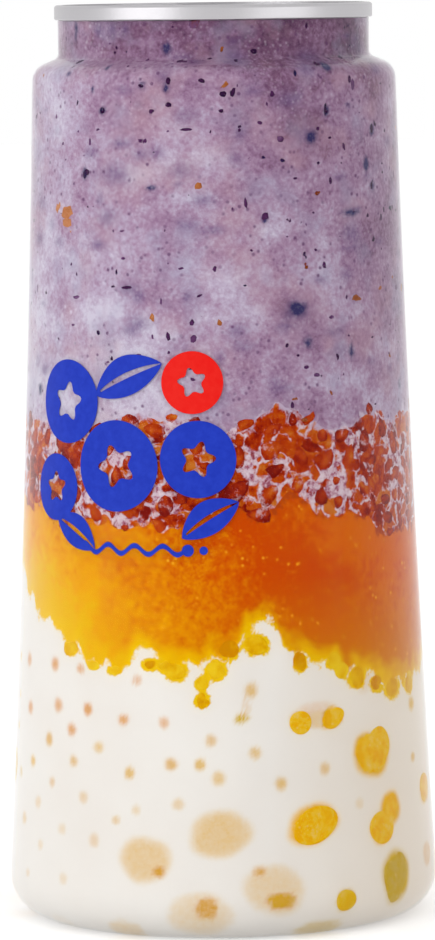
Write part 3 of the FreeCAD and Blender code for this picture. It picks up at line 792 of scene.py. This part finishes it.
TAPERS = (0.15, 0.4, 0.6)
SAC_REACH = 87.5         # the sacs end about here, though the cream rolls higher
SAC_SPACING = 0.78       # of the sum of two half-widths, so that they overlap a little
sac_shapes = [sac_shape(taper) for taper in TAPERS]
chance = np.random.default_rng(8)
sacs, taken = [], []
for _ in range(8000):
    azimuth = chance.uniform(-180, 180)
    low, high = float(mango_top(azimuth)), float(pulp_top(azimuth))
    height = low + (high - low) * chance.uniform(0.02, 1.03)
    size = chance.beta(2, 1.6)
    long, wide = 1.2 + 1.9 * size, 0.9 + 1.0 * size
    if height + wide > min(high, SAC_REACH) + 1.8 or height - wide < low - 0.8:
        continue
    if 26 < azimuth < 80 and height < low + 4.5 and chance.random() < 0.7:
        continue
    angle = chance.uniform(0, math.pi)
    spots = axis_spots(azimuth, height, angle, long)
    clear = True
    for other_spots, other_wide in taken:
        if abs(other_spots[1][1] - height) > 6 or abs(other_spots[1][0] - spots[1][0]) > 6:
            continue
        nearest = min(np.linalg.norm(spot - other) for spot in spots for other in other_spots)
        if nearest < (wide + other_wide) * SAC_SPACING:
            clear = False
            break
    if not clear:
        continue
    taken.append((spots, wide))
    sacs.append((azimuth, height, angle, long, wide, chance.random()))

parts = []
for index, (azimuth, height, angle, long, wide, tone_here) in enumerate(sacs):
    points, faces = sac_shapes[index % 3]
    rim = np.hypot(points[:, 0], points[:, 1] / (1 - TAPERS[index % 3] * points[:, 0]))
    shaped = lumpy(points, 700 + index, 0.16) * (long, wide, 0.34)
    flat = shaped.copy()
    flat[:, 0] = shaped[:, 0] * math.cos(angle) - shaped[:, 1] * math.sin(angle)
    flat[:, 1] = shaped[:, 0] * math.sin(angle) + shaped[:, 1] * math.cos(angle)
    tint = tone_here * 0.55 + 0.34 - 0.75 * np.clip(rim, 0, 1) ** 2
    parts.append((wrapped(flat, azimuth, height, -0.22), faces, tint))
sac_piece = mesh_from("juice_sacs", parts)

# Juice sac skin: wet, see-through orange to red, streaked along and darker at its rim.
sac_skin, tree, shader = new_material("juice_sac_skin", Roughness=0.35, Specular_IOR_Level=0.05)
place = add_node(tree, "TexCoord").outputs["Object"]
red_skin = tinted(tree, place, 1.613, 1.8, 4, 0.7, SAC_TONES)
creamy = add_node(tree, "TexNoise", {"Vector": place, "Scale": across(3.846), "Detail": 5,
                                     "Roughness": 0.75})
filmed = add_node(tree, "MapRange", {"Value": creamy, "From Min": 0.57, "From Max": 0.66,
                                     "To Max": 0.75})
skinned = add_node(tree, "Mix", {0: filmed, 6: red_skin, 7: "#D8BFC6"})
wire(tree, shader, {"Base Color": skinned})
dress(sac_piece, sac_skin)
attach(sac_piece, "root")


# ---------------------------------------------------------------- smoothie
# Blended blueberries and yoghurt, thick and mauve, with paler swirls, bruised dark patches and
# fine bubbles. It fills the can up to the underside of its end.

SMOOTHIE_FIXED = 122.0   # above it the smoothie's points stay where they are
SHOULDER_FOOT = 142.0    # where the side ends and the rounded shoulder begins
UNDER_END = 150.0        # height of the underside of the end's middle
NECK_INSIDE = 26.12
# The underside of the end: in from the seam, down round the countersink and up to its middle.
under_end = [(NECK_INSIDE, NECK_TOP), (25.8, 152.1), (24.5, 148.5), (22.6, 148.5),
             (22.2, UNDER_END)]
upper_rows = [point for point in drink_outline
              if point[1] > SHOULDER_FOOT and point[0] > 25.9][:-1]
smoothie_path = inward(PULP_LEVEL, float(drink_radius(PULP_LEVEL)))[::-1]
smoothie_path += wall_rows(PULP_LEVEL, SHOULDER_FOOT - 0.4) + upper_rows
smoothie_path += [(NECK_INSIDE, height) for height in np.arange(148.0, 152.5, ROW)] + under_end
smoothie_path += [(radius, UNDER_END) for radius in (16, 9, 3)]
smoothie = turned("smoothie_layer", smoothie_path, segments=DRINK_SIDES)
smoothie_spots = settle(smoothie, (PULP_LEVEL, pulp_top), (SMOOTHIE_FIXED, None))


def blots(spots, places):
    """How strongly soft-edged oval blots of (azimuth, height, half-width, half-height) show."""
    azimuth, radius = azimuth_of(spots), np.hypot(spots[:, 0], spots[:, 1])
    shown = np.zeros(len(spots))
    for middle, height, wide, high in places:
        along = np.radians(apart(azimuth, middle)) * radius
        shown = np.maximum(shown, np.exp(-(along / wide) ** 2 - ((spots[:, 2] - height) / high) ** 2))
    return shown


# Blots are (azimuth, height, half-width, half-height): navy bits of skin under the surface, violet
# bruises and pale clouds, with more of the first two at random. The pale blots near azimuth -60, down
# the left side, are painted sheen from the key lamp.
chance = np.random.default_rng(31)
navy = [(25, 105, 1.7, 1.4), (28, 99.4, 1.1, 1.1), (44, 97.5, 0.8, 1.6), (71, 91, 1.0, 1.2),
        (-67, 91, 1.0, 1.3), (37, 137.5, 0.8, 1.1), (31, 133.3, 1.2, 1.3), (58, 134, 0.9, 1.2),
        (54, 128.3, 0.8, 1.5), (57, 124.7, 0.9, 1.0), (-44, 127.7, 0.9, 1.5), (-23, 142.2, 1.1, 0.7),
        (-15, 141.8, 0.6, 0.9), (-61, 151, 0.9, 1.7), (-17, 148.3, 1.0, 1.4), (46, 120.5, 2.6, 0.7),
        (-41, 141.5, 0.6, 0.7), (-37, 144.9, 0.7, 0.5), (-53, 144, 0.8, 0.6), (15, 120, 0.6, 0.9),
        (-20, 125.3, 1.0, 0.5), (46, 138.4, 0.8, 0.6), (-37, 138, 0.7, 0.6), (39, 144.7, 1.1, 0.7)]
violet = [(-47, 151, 0.9, 0.9), (-40, 151.3, 0.7, 1.0), (-34, 151.3, 0.6, 1.0), (7, 149.3, 1.1, 0.7),
          (31, 144.6, 2.0, 1.0), (67, 146, 1.8, 0.9), (24, 139.4, 2.6, 1.6), (-32, 127.5, 3.0, 1.8),
          (-18, 131, 1.2, 1.0), (-41, 131, 1.1, 1.0), (-35, 120.3, 1.9, 1.4), (-27, 108.6, 1.9, 0.8),
          (46, 106.2, 1.2, 1.0), (-10, 128.4, 1.7, 1.2),
          (6, 101.5, 1.6, 1.1), (17, 92.4, 1.3, 1.5), (36, 146, 2.5, 1.6),
          (30, 133.6, 2.2, 2.2), (25, 104.6, 2.8, 2.2)]
for _ in range(130):
    violet.append((chance.uniform(-180, 180), chance.uniform(92, 150), chance.uniform(0.6, 2.2),
                   chance.uniform(0.4, 1.3)))
for _ in range(26):
    navy.append((chance.uniform(86, 274), chance.uniform(92, 150), chance.uniform(0.5, 1.3),
                 chance.uniform(0.5, 1.3)))
# Pale clouds; the three near azimuth -60 are painted sheen.
pale = [(-8, 123.5, 4.0, 1.0), (-2, 131, 3.0, 2.4), (-24, 127, 3.4, 2.0), (-62, 118, 3, 6),
        (-56, 136, 3, 5), (-35, 105, 5, 2.5), (2, 110, 6, 3), (40, 103, 6, 2.5), (-66, 104, 3, 5),
        (-30, 97, 7, 2.0), (33, 93, 5, 2.0), (18, 118, 4, 2), (58, 98, 4, 3)]
paint(smoothie, "navy", blots(smoothie_spots, navy))
paint(smoothie, "violet", blots(smoothie_spots, violet))
paint(smoothie, "pale", blots(smoothie_spots, pale))
paint(smoothie, "edge", above(smoothie_spots, pulp_top))


def soft_mask(tree, place, size, low, high, top=1):
    """A field of cloudy patches, size mm across, between 0 and top."""
    noise = add_node(tree, "TexNoise", {"Vector": place, "Scale": across(size), "Detail": 3,
                                        "Roughness": 0.6})
    return add_node(tree, "MapRange", {"Value": noise, "From Min": low, "From Max": high,
                                       "To Max": top})


def dotted(tree, place, size, reach, strength, mask):
    """Fine dots, one in each cell of size mm, showing only where the mask is."""
    cell = add_node(tree, "TexVoronoi", {"Vector": place, "Scale": across(size)})
    dot = add_node(tree, "MapRange", {"Value": cell, "From Min": reach * 0.4, "From Max": reach,
                                      "To Min": strength, "To Max": 0})
    return add_node(tree, "Math", {0: dot, 1: mask}, operation="MULTIPLY")


# Blueberry smoothie: mauve with lavender-white clouds, grainy with air, and specked with ground skin
# too fine to be pieces. It is paler to the left and darker to the right as painted sheen and shade,
# and darker up into the neck partly as painted shade under the seam and partly by its own deeper
# colour. Its white dots at the left are painted glints on the froth.
mauve_smoothie, tree, shader = new_material("blueberry_smoothie", Roughness=0.5,
                                            Specular_IOR_Level=0.02)
place = add_node(tree, "TexCoord").outputs["Object"]
swirl = add_node(tree, "TexNoise", {"Vector": place, "Scale": across(19.23), "Detail": 5,
                                    "Roughness": 0.6, "Distortion": 0.35})
cloud = add_node(tree, "TexNoise", {"Vector": place, "Scale": across(4.348), "Detail": 5,
                                    "Roughness": 0.72})
axes = add_node(tree, "SeparateXYZ", {0: place})
# Painted sheen and shade: paler towards the lit left, darker towards the right.
sideways = add_node(tree, "MapRange", {"Value": axes.outputs["X"], "From Min": -34 * MM,
                                       "From Max": 34 * MM, "To Min": -0.17, "To Max": 0.05})
# Partly painted shade: darker towards the top and more so in the neck under the seam, on top of the
# smoothie's own deeper colour there.
upward = add_node(tree, "MapRange", {"Value": axes.outputs["Z"], "From Min": 112 * MM,
                                     "From Max": 147 * MM, "To Max": 0.1})
neck = add_node(tree, "MapRange", {"Value": axes.outputs["Z"], "From Min": 144.5 * MM,
                                   "From Max": 148.5 * MM, "To Max": 0.15})
lifted = add_node(tree, "Attribute", attribute_name="pale").outputs["Fac"]
total = add_node(tree, "Math", {0: cloud, 1: 0.6, 2: -0.3}, operation="MULTIPLY_ADD")
for value in (swirl, unevenness(tree, place, 0.769, 0.5, 2, 0.6), sideways, upward, neck):
    total = add_node(tree, "Math", {0: total, 1: value})
total = add_node(tree, "Math", {0: lifted, 1: -0.16, 2: total}, operation="MULTIPLY_ADD")
mauves = add_node(tree, "ValToRGB", {0: total}, [(0.2, "#D8D2E0"), (0.36, "#C4B4CA"),
                                                 (0.5, "#B497B2"), (0.62, "#A17F9E"),
                                                 (0.76, "#86607F"), (0.98, "#573455")])
pink = soft_mask(tree, place, 11.76, 0.5, 0.68, 0.45)
pinked = add_node(tree, "Mix", {0: pink, 6: mauves, 7: "#C5A0AC"})
elsewhere = add_node(tree, "Mapping", {"Vector": place, "Location": (0.3, 0.2, 0.1)}).outputs[0]
grey = soft_mask(tree, elsewhere, 8.333, 0.52, 0.66, 0.4)
greyed = add_node(tree, "Mix", {0: grey, 6: pinked, 7: "#A9A2BC"})
blot = add_node(tree, "Attribute", attribute_name="violet").outputs["Fac"]
blot_share = add_node(tree, "Math", {0: blot, 1: cloud}, operation="MULTIPLY")
bruised = add_node(tree, "Mix", {0: blot_share, 6: greyed, 7: "#6C5486"})
skin = add_node(tree, "Attribute", attribute_name="navy").outputs["Fac"]
skin_edge = add_node(tree, "Math", {0: cloud, 1: 3.4, 2: -1.6}, operation="MULTIPLY_ADD")
skin_sum = add_node(tree, "Math", {0: skin, 1: skin_edge})
skin_cut = add_node(tree, "Math", {0: skin_sum, 1: skin}, operation="MULTIPLY")
skin_share = add_node(tree, "MapRange", {"Value": skin_cut, "From Min": 0.05, "From Max": 0.7,
                                         "To Max": 0.9})
stained = add_node(tree, "Mix", {0: skin_share, 6: bruised, 7: "#303266"})
# Painted glints: white dots on the froth, shown only on the lit left side.
glint_side = add_node(tree, "MapRange", {"Value": axes.outputs["X"], "From Min": -14 * MM,
                                   "From Max": -26 * MM})
frothy = add_node(tree, "Math", {0: soft_mask(tree, place, 5.882, 0.46, 0.6), 1: glint_side},
                  operation="MULTIPLY")
whole = stained
for size, reach, strength, mask, code in (
        (1.5625, 0.3, 0.6, frothy, "#E8E4F0"),
        (0.8696, 0.36, 0.26, soft_mask(tree, place, 7.143, 0.4, 0.62), "#E4DCE8"),
        (1.5625, 0.27, 0.8, soft_mask(tree, place, 10, 0.44, 0.6), "#6B4470")):
    dots = dotted(tree, place, size, reach, strength, mask)
    whole = add_node(tree, "Mix", {0: dots, 6: whole, 7: code})
lower = ragged_share(tree, place, "edge", 4.17, 9)
creamed = add_node(tree, "Mix", {0: lower, 6: "#D2C6D6", 7: whole})
wire(tree, shader, {"Base Color": creamed})
dress(smoothie, mauve_smoothie)
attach(smoothie, "root")
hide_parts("smoothie")


# ---------------------------------------------------------------- skin flecks
# Bits of blueberry skin, near black to wine purple, and a few crumbs of orange fruit, from a
# few tenths of a millimetre to five millimetres across, floating at the wall.

# Each is (azimuth, height, half-width, half-height, tint): skin up to 0.5, and fruit above it.
SMALL_FLECKS, CRUMBS = 430, 22
flecks = [(3, 142.3, 0.8, 1.0, 0.72), (3.2, 140.6, 0.7, 0.4, 0.12), (5.8, 141, 0.4, 0.6, 0.12),
          (-7, 152, 0.9, 0.7, 0.5), (2.2, 138, 0.5, 0.35, 0.14), (7.6, 134.6, 0.3, 0.3, 0.2),
          (-8, 134.8, 0.95, 0.3, 0.2), (-4, 142.8, 0.55, 0.3, 0.14), (-11, 146, 0.8, 0.3, 0.2),
          (15, 147.6, 0.5, 0.5, 0.1), (8.6, 145.8, 0.55, 0.3, 0.14), (16, 139, 0.35, 0.6, 0.3),
          (37, 137.6, 0.35, 0.9, 0.1), (57, 125.2, 0.4, 0.8, 0.1), (58, 134.2, 0.5, 0.7, 0.14),
          (-23, 142.2, 0.8, 0.4, 0.14), (-19, 131, 0.4, 0.35, 0.14), (-44, 127.6, 0.4, 0.9, 0.1),
          (15, 120.1, 0.45, 0.8, 0.25), (-28, 108.8, 0.9, 0.3, 0.2), (60, 135, 0.3, 0.6, 0.14),
          (9, 122.5, 0.3, 0.7, 0.3), (22, 117, 0.4, 0.3, 0.3), (46, 120.6, 1.4, 0.35, 0.14),
          (33, 124, 0.4, 0.35, 0.62), (-5, 107.5, 0.6, 0.35, 0.2), (-37, 138, 0.4, 0.4, 0.12),
          (28, 112, 0.35, 0.4, 0.62), (47, 106, 0.8, 0.7, 0.68), (59, 107.5, 0.7, 0.5, 0.72),
          (64, 96, 0.6, 0.5, 0.7), (23, 90, 0.5, 0.45, 0.66), (26, 86.6, 0.6, 0.4, 0.66)]
chance = np.random.default_rng(77)
for _ in range(SMALL_FLECKS):
    size = 0.13 + 0.42 * chance.beta(1.1, 3.2)
    long = size * chance.uniform(1, 2.0)
    flat = chance.random() < 0.5
    flecks.append((chance.uniform(-180, 180), chance.uniform(88, 152.2),
                   long if flat else size, size if flat else long, chance.uniform(0.08, 0.42)))
for _ in range(CRUMBS):
    size = chance.uniform(0.25, 0.55)
    flecks.append((chance.uniform(-180, 180), chance.uniform(90, 148), size, size * 1.2,
                   chance.uniform(0.62, 0.9)))
flecks += [(-54, 120.8, 2.2, 1.5, 0.84), (-52.5, 118.8, 1.5, 1.3, 0.9),
           (-57.5, 122, 1.1, 1.1, 0.86)]
fleck_points, fleck_faces = modelled_ball(8, 6)
parts = []
for index, (azimuth, height, wide, high, tone_here) in enumerate(flecks):
    shaped = lumpy(fleck_points, 1000 + index, 0.42) * (wide * 1.15, high * 1.15, 0.2)
    parts.append((wrapped(shaped, azimuth, height, -0.12), fleck_faces, tone_here))
fleck_piece = mesh_from("skin_flecks", parts)

# Torn berry skin: matt and near black where thick, wine purple where thin; the crumbs are orange.
berry_skin, tree, shader = new_material("torn_berry_skin", Roughness=0.6, Specular_IOR_Level=0.02)
place = add_node(tree, "TexCoord").outputs["Object"]
torn = tinted(tree, place, 1.111, 0.4, 3, 0.5,
              [(0, "#1E2458"), (0.12, "#3A1C40"), (0.3, "#5C3260"), (0.46, "#7C5680"),
               (0.6, "#8A3E1A"), (0.8, "#C07A44"), (1, "#D69868")])
wire(tree, shader, {"Base Color": torn})
dress(fleck_piece, berry_skin)
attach(fleck_piece, "root")


# ---------------------------------------------------------------- printed sprig
# A sprig of berries and leaves in two inks, screen printed on the outside of the plastic, with
# a wavy line and dots under it.

wall_radii, wall_heights = zip(*[point for point in outside if point[0] > 28])
INK = 0.03               # thickness of the ink film, mm, drawn as a real layer


def wall_radius(height):
    return np.interp(height, wall_heights, wall_radii)


def film(name):
    """Gives the selected flat shape the thickness of the ink and takes it apart."""
    bpy.ops.mesh.select_all(action="SELECT")
    bpy.ops.mesh.extrude_region_move(TRANSFORM_OT_translate={"value": (0, 0, INK + 0.02)})
    bpy.ops.mesh.select_all(action="SELECT")
    bpy.ops.mesh.normals_make_consistent(inside=False)
    bpy.ops.object.mode_set(mode="OBJECT")
    return taken_apart(bpy.context.object)


def berry_print():
    """A disc of radius 1 with a star-shaped opening, as a berry is seen from its crown."""
    deselect()
    bpy.ops.mesh.primitive_circle_add(vertices=60, radius=1, fill_type="NOTHING")
    bpy.ops.object.mode_set(mode="EDIT")
    for before, after in ((1, 0.8), (0.8, 0.6), (0.6, 0.42)):
        bpy.ops.mesh.extrude_edges_move()
        bpy.ops.transform.resize(value=(after / before, after / before, 1),
                                 center_override=(0, 0, 0))
    bpy.ops.object.mode_set(mode="OBJECT")
    for vertex in bpy.context.object.data.vertices:
        if vertex.co.length < 0.45:
            turn = math.atan2(vertex.co.y, vertex.co.x)
            vertex.co *= 0.72 + 0.42 * abs(math.cos(2.5 * turn)) ** 3
    bpy.ops.object.mode_set(mode="EDIT")
    return film("berry")


def leaf_print():
    """A pointed leaf from -1 to 1 along, with an open vein down its middle."""
    deselect()
    bpy.ops.mesh.primitive_grid_add(x_subdivisions=24, y_subdivisions=7, size=2)
    grid = bpy.context.object.data
    for vertex in grid.vertices:
        broad = 0.5 * math.cos(vertex.co.x * math.pi / 2) ** 0.75 if abs(vertex.co.x) < 1 else 0.0
        vertex.co.y *= max(broad, 0.004)
        vertex.co.y += 0.1 * (1 - vertex.co.x ** 2)
    vein = [polygon.index for polygon in grid.polygons
            if abs(polygon.center.y - 0.1 * (1 - polygon.center.x ** 2)) < 0.01
            and polygon.center.x > -0.8]
    bpy.ops.object.mode_set(mode="EDIT")
    bpy.ops.mesh.select_mode(type="FACE")
    bpy.ops.mesh.select_all(action="DESELECT")
    bpy.ops.object.mode_set(mode="OBJECT")
    for index in vein:
        grid.polygons[index].select = True
    bpy.ops.object.mode_set(mode="EDIT")
    bpy.ops.mesh.delete(type="FACE")
    bpy.ops.mesh.select_mode(type="VERT")
    return film("leaf")


def wave_print(length, waves, swing, broad):
    """A wavy line, drawn to size in millimetres."""
    deselect()
    bpy.ops.mesh.primitive_grid_add(x_subdivisions=140, y_subdivisions=1, size=1)
    for vertex in bpy.context.object.data.vertices:
        vertex.co = (vertex.co.x * length, vertex.co.y * broad
                     + swing * math.sin(vertex.co.x * 2 * math.pi * waves), 0)
    bpy.ops.object.mode_set(mode="EDIT")
    return film("wave")


def dot_print():
    deselect()
    bpy.ops.mesh.primitive_circle_add(vertices=24, radius=1, fill_type="TRIFAN")
    bpy.ops.object.mode_set(mode="EDIT")
    return film("dot")


def printed(shape, azimuth, height, size, turn=0):
    """A printed shape at its place on the wall; size scales it along and across."""
    points, faces = shape
    angle = math.radians(turn)
    along, across = points[:, 0] * size[0], points[:, 1] * size[1]
    flat = np.stack((along * math.cos(angle) - across * math.sin(angle),
                     along * math.sin(angle) + across * math.cos(angle), points[:, 2]), axis=1)
    return wrapped(flat, azimuth, height, -0.02, wall_radius), faces


# Each print is (shape, azimuth, height, (scale along, scale across), turn in degrees).
berry, leaf, dot = berry_print(), leaf_print(), dot_print()
wave = wave_print(length=28, waves=4, swing=0.7, broad=0.85)
blue_places = [(berry, -50, 89.5, (7.0, 7.0), 10), (berry, -31, 79.2, (7.6, 7.6), 40),
               (berry, -6, 80.5, (6.4, 6.4), 75), (berry, -55, 75, (5.6, 5.6), 20),
               (leaf, -27.5, 93.6, (6.8, 6.6), 24), (leaf, -46, 67.6, (5.2, 5.4), -28),
               (leaf, -2.5, 70.4, (5.6, 5.6), 32), (wave, -27, 65.4, (0.72, 1), 0),
               (dot, -9, 65.4, (1.0, 1.0), 0), (dot, -4.5, 65.4, (0.7, 0.7), 0)]
red_places = [(berry, -7.5, 93.2, (5.2, 5.2), 30)]
blue_print = mesh_from("sprig_blue_print", [(*printed(*place), 0.5) for place in blue_places])
red_print = mesh_from("sprig_red_print", [(*printed(*place), 0.5) for place in red_places])


def printing_ink(name, plain, worn):
    """Opaque screen ink: even and half matt, a touch uneven where the mesh laid it. The marks
    of the mesh are drawn 1.4 mm across, coarser than real ones, so that they show."""
    made, tree, shader = new_material(name, Roughness=0.45, Specular_IOR_Level=0.1)
    place = add_node(tree, "TexCoord").outputs["Object"]
    laid = soft_mask(tree, place, 1.43, 0.35, 0.7)
    inked = add_node(tree, "Mix", {0: laid, 6: plain, 7: worn})
    wire(tree, shader, {"Base Color": inked})
    return made


dress(blue_print, printing_ink("blue_screen_ink", "#1C36B6", "#233EC0"))
dress(red_print, printing_ink("red_screen_ink", "#EC1812", "#EE261C"))
for piece in (blue_print, red_print):
    piece.data.polygons.foreach_set("use_smooth", [False] * len(piece.data.polygons))
    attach(piece, "root")


# ---------------------------------------------------------------- aluminium end and tab
# The seamed end and its stay-on tab keep the shapes they are pressed to: the end is seamed on
# the flange of the can, and its rivet holds the tab. Both are of coated aluminium sheet.

def rolled_aluminium(name, code, roughness):
    """Rolled and lacquered sheet, so satin, with fine rolling lines. The lines are drawn 0.24 mm
    apart and the grain 0.4 mm across, coarser than real ones, so that they show."""
    made, tree, shader = new_material(name, Base_Color=code, Metallic=1, Roughness=roughness)
    place = add_node(tree, "TexCoord").outputs["Object"]
    lines = add_node(tree, "Mapping", {"Vector": place, "Scale": (1, 14, 14)})
    streak = add_node(tree, "TexNoise", {"Vector": lines, "Scale": across(14 * 0.238), "Detail": 2})
    rough = add_node(tree, "MapRange", {"Value": streak, "To Min": roughness - 0.06,
                                        "To Max": roughness + 0.08})
    bump = add_node(tree, "Bump", {"Height": streak, "Strength": 0.2, "Distance": 0.03 * MM})
    grain = add_node(tree, "TexNoise", {"Vector": place, "Scale": across(0.385), "Detail": 2})
    frosted = add_node(tree, "Bump", {"Height": grain, "Strength": 0.3, "Distance": 0.08 * MM,
                                      "Normal": bump})
    wire(tree, shader, {"Roughness": rough, "Normal": frosted})
    return made


dress(bpy.data.objects["lid_end"], rolled_aluminium("lacquered_aluminium_end", "#BAB8BB", 0.34))
dress(bpy.data.objects["pull_tab"], rolled_aluminium("aluminium_tab", "#C4C3C6", 0.28))


# ---------------------------------------------------------------- floor, lamps and camera
# A plain pale sweep in a white room, a broad soft lamp from the left front, and a weaker one
# from the right.

def plainly_seen(tree):
    """1 where the eye, a reflection or a look through the wall meets it, and 0 for its light."""
    rays = add_node(tree, "LightPath").outputs
    seen = add_node(tree, "Math", {0: rays["Is Camera Ray"], 1: rays["Is Glossy Ray"]},
                    operation="MAXIMUM")
    return add_node(tree, "Math", {0: seen, 1: rays["Is Transmission Ray"]}, operation="MAXIMUM")


deselect()
bpy.ops.mesh.primitive_plane_add(size=6, location=(0, 1.0, 0))
floor = bpy.context.object
floor.name = "floor"
bpy.ops.object.transform_apply(location=True)
# Matt white board, lit by the lamps and lifted to white where it is seen, so that it keeps the
# can's shadow.
pale_board, tree, shader = new_material("matt_white_board", Base_Color="#FAFAFA", Roughness=0.9)
lit = add_node(tree, "Emission", {"Strength": 0.32})
unlit = add_node(tree, "Emission", {"Strength": 0.0})
lift = add_node(tree, "MixShader", {0: plainly_seen(tree), 1: unlit, 2: lit})
whole = add_node(tree, "AddShader", {0: shader, 1: lift})
wire(tree, tree.nodes["Material Output"], {"Surface": whole})
dress(floor, pale_board)

world = bpy.context.scene.world or bpy.data.worlds.new("world")
bpy.context.scene.world = world
world.use_nodes = True
tree = world.node_tree
tree.nodes.clear()
soft_light = add_node(tree, "Background", {"Color": "#FFFFFF", "Strength": 0.75})
plain_white = add_node(tree, "Background", {"Color": "#FFFFFF", "Strength": 1.0})
backdrop = add_node(tree, "MixShader", {0: plainly_seen(tree), 1: soft_light, 2: plain_white})
add_node(tree, "OutputWorld", {"Surface": backdrop})


def soft_lamp(name, place, aim, size, watts):
    """A square area lamp that looks from its place to its aim."""
    data = bpy.data.lights.new(name, "AREA")
    data.shape, data.size, data.energy = "SQUARE", size, watts
    lamp = bpy.data.objects.new(name, data)
    bpy.context.collection.objects.link(lamp)
    lamp.location = place
    lamp.rotation_euler = (Vector(aim) - Vector(place)).to_track_quat("-Z", "Y").to_euler()
    return lamp


soft_lamp("key_lamp", (-1.0, -0.8, 0.35), (0, 0, 0.08), 1.1, 5.6)
soft_lamp("fill_lamp", (1.0, -0.8, 0.15), (0, 0, 0.08), 1.1, 3.2)

# The camera stands a metre off, a little above the can, with a long lens and a slight lean.
EYE = Vector((0, -0.9791, 0.16384))
LOOKS_AT = Vector((-0.0002, 0, 0.07576))
LEAN = math.radians(-0.7)
camera_data = bpy.data.cameras.new("camera")
camera_data.lens, camera_data.sensor_width = 220.16, 36
camera = bpy.data.objects.new("camera", camera_data)
bpy.context.collection.objects.link(camera)
camera.location = EYE
camera.rotation_euler = ((LOOKS_AT - EYE).to_track_quat("-Z", "Y")
                         @ Matrix.Rotation(LEAN, 3, "Z").to_quaternion()).to_euler()
bpy.context.scene.camera = camera
bpy.context.scene.view_settings.view_transform = "Standard"
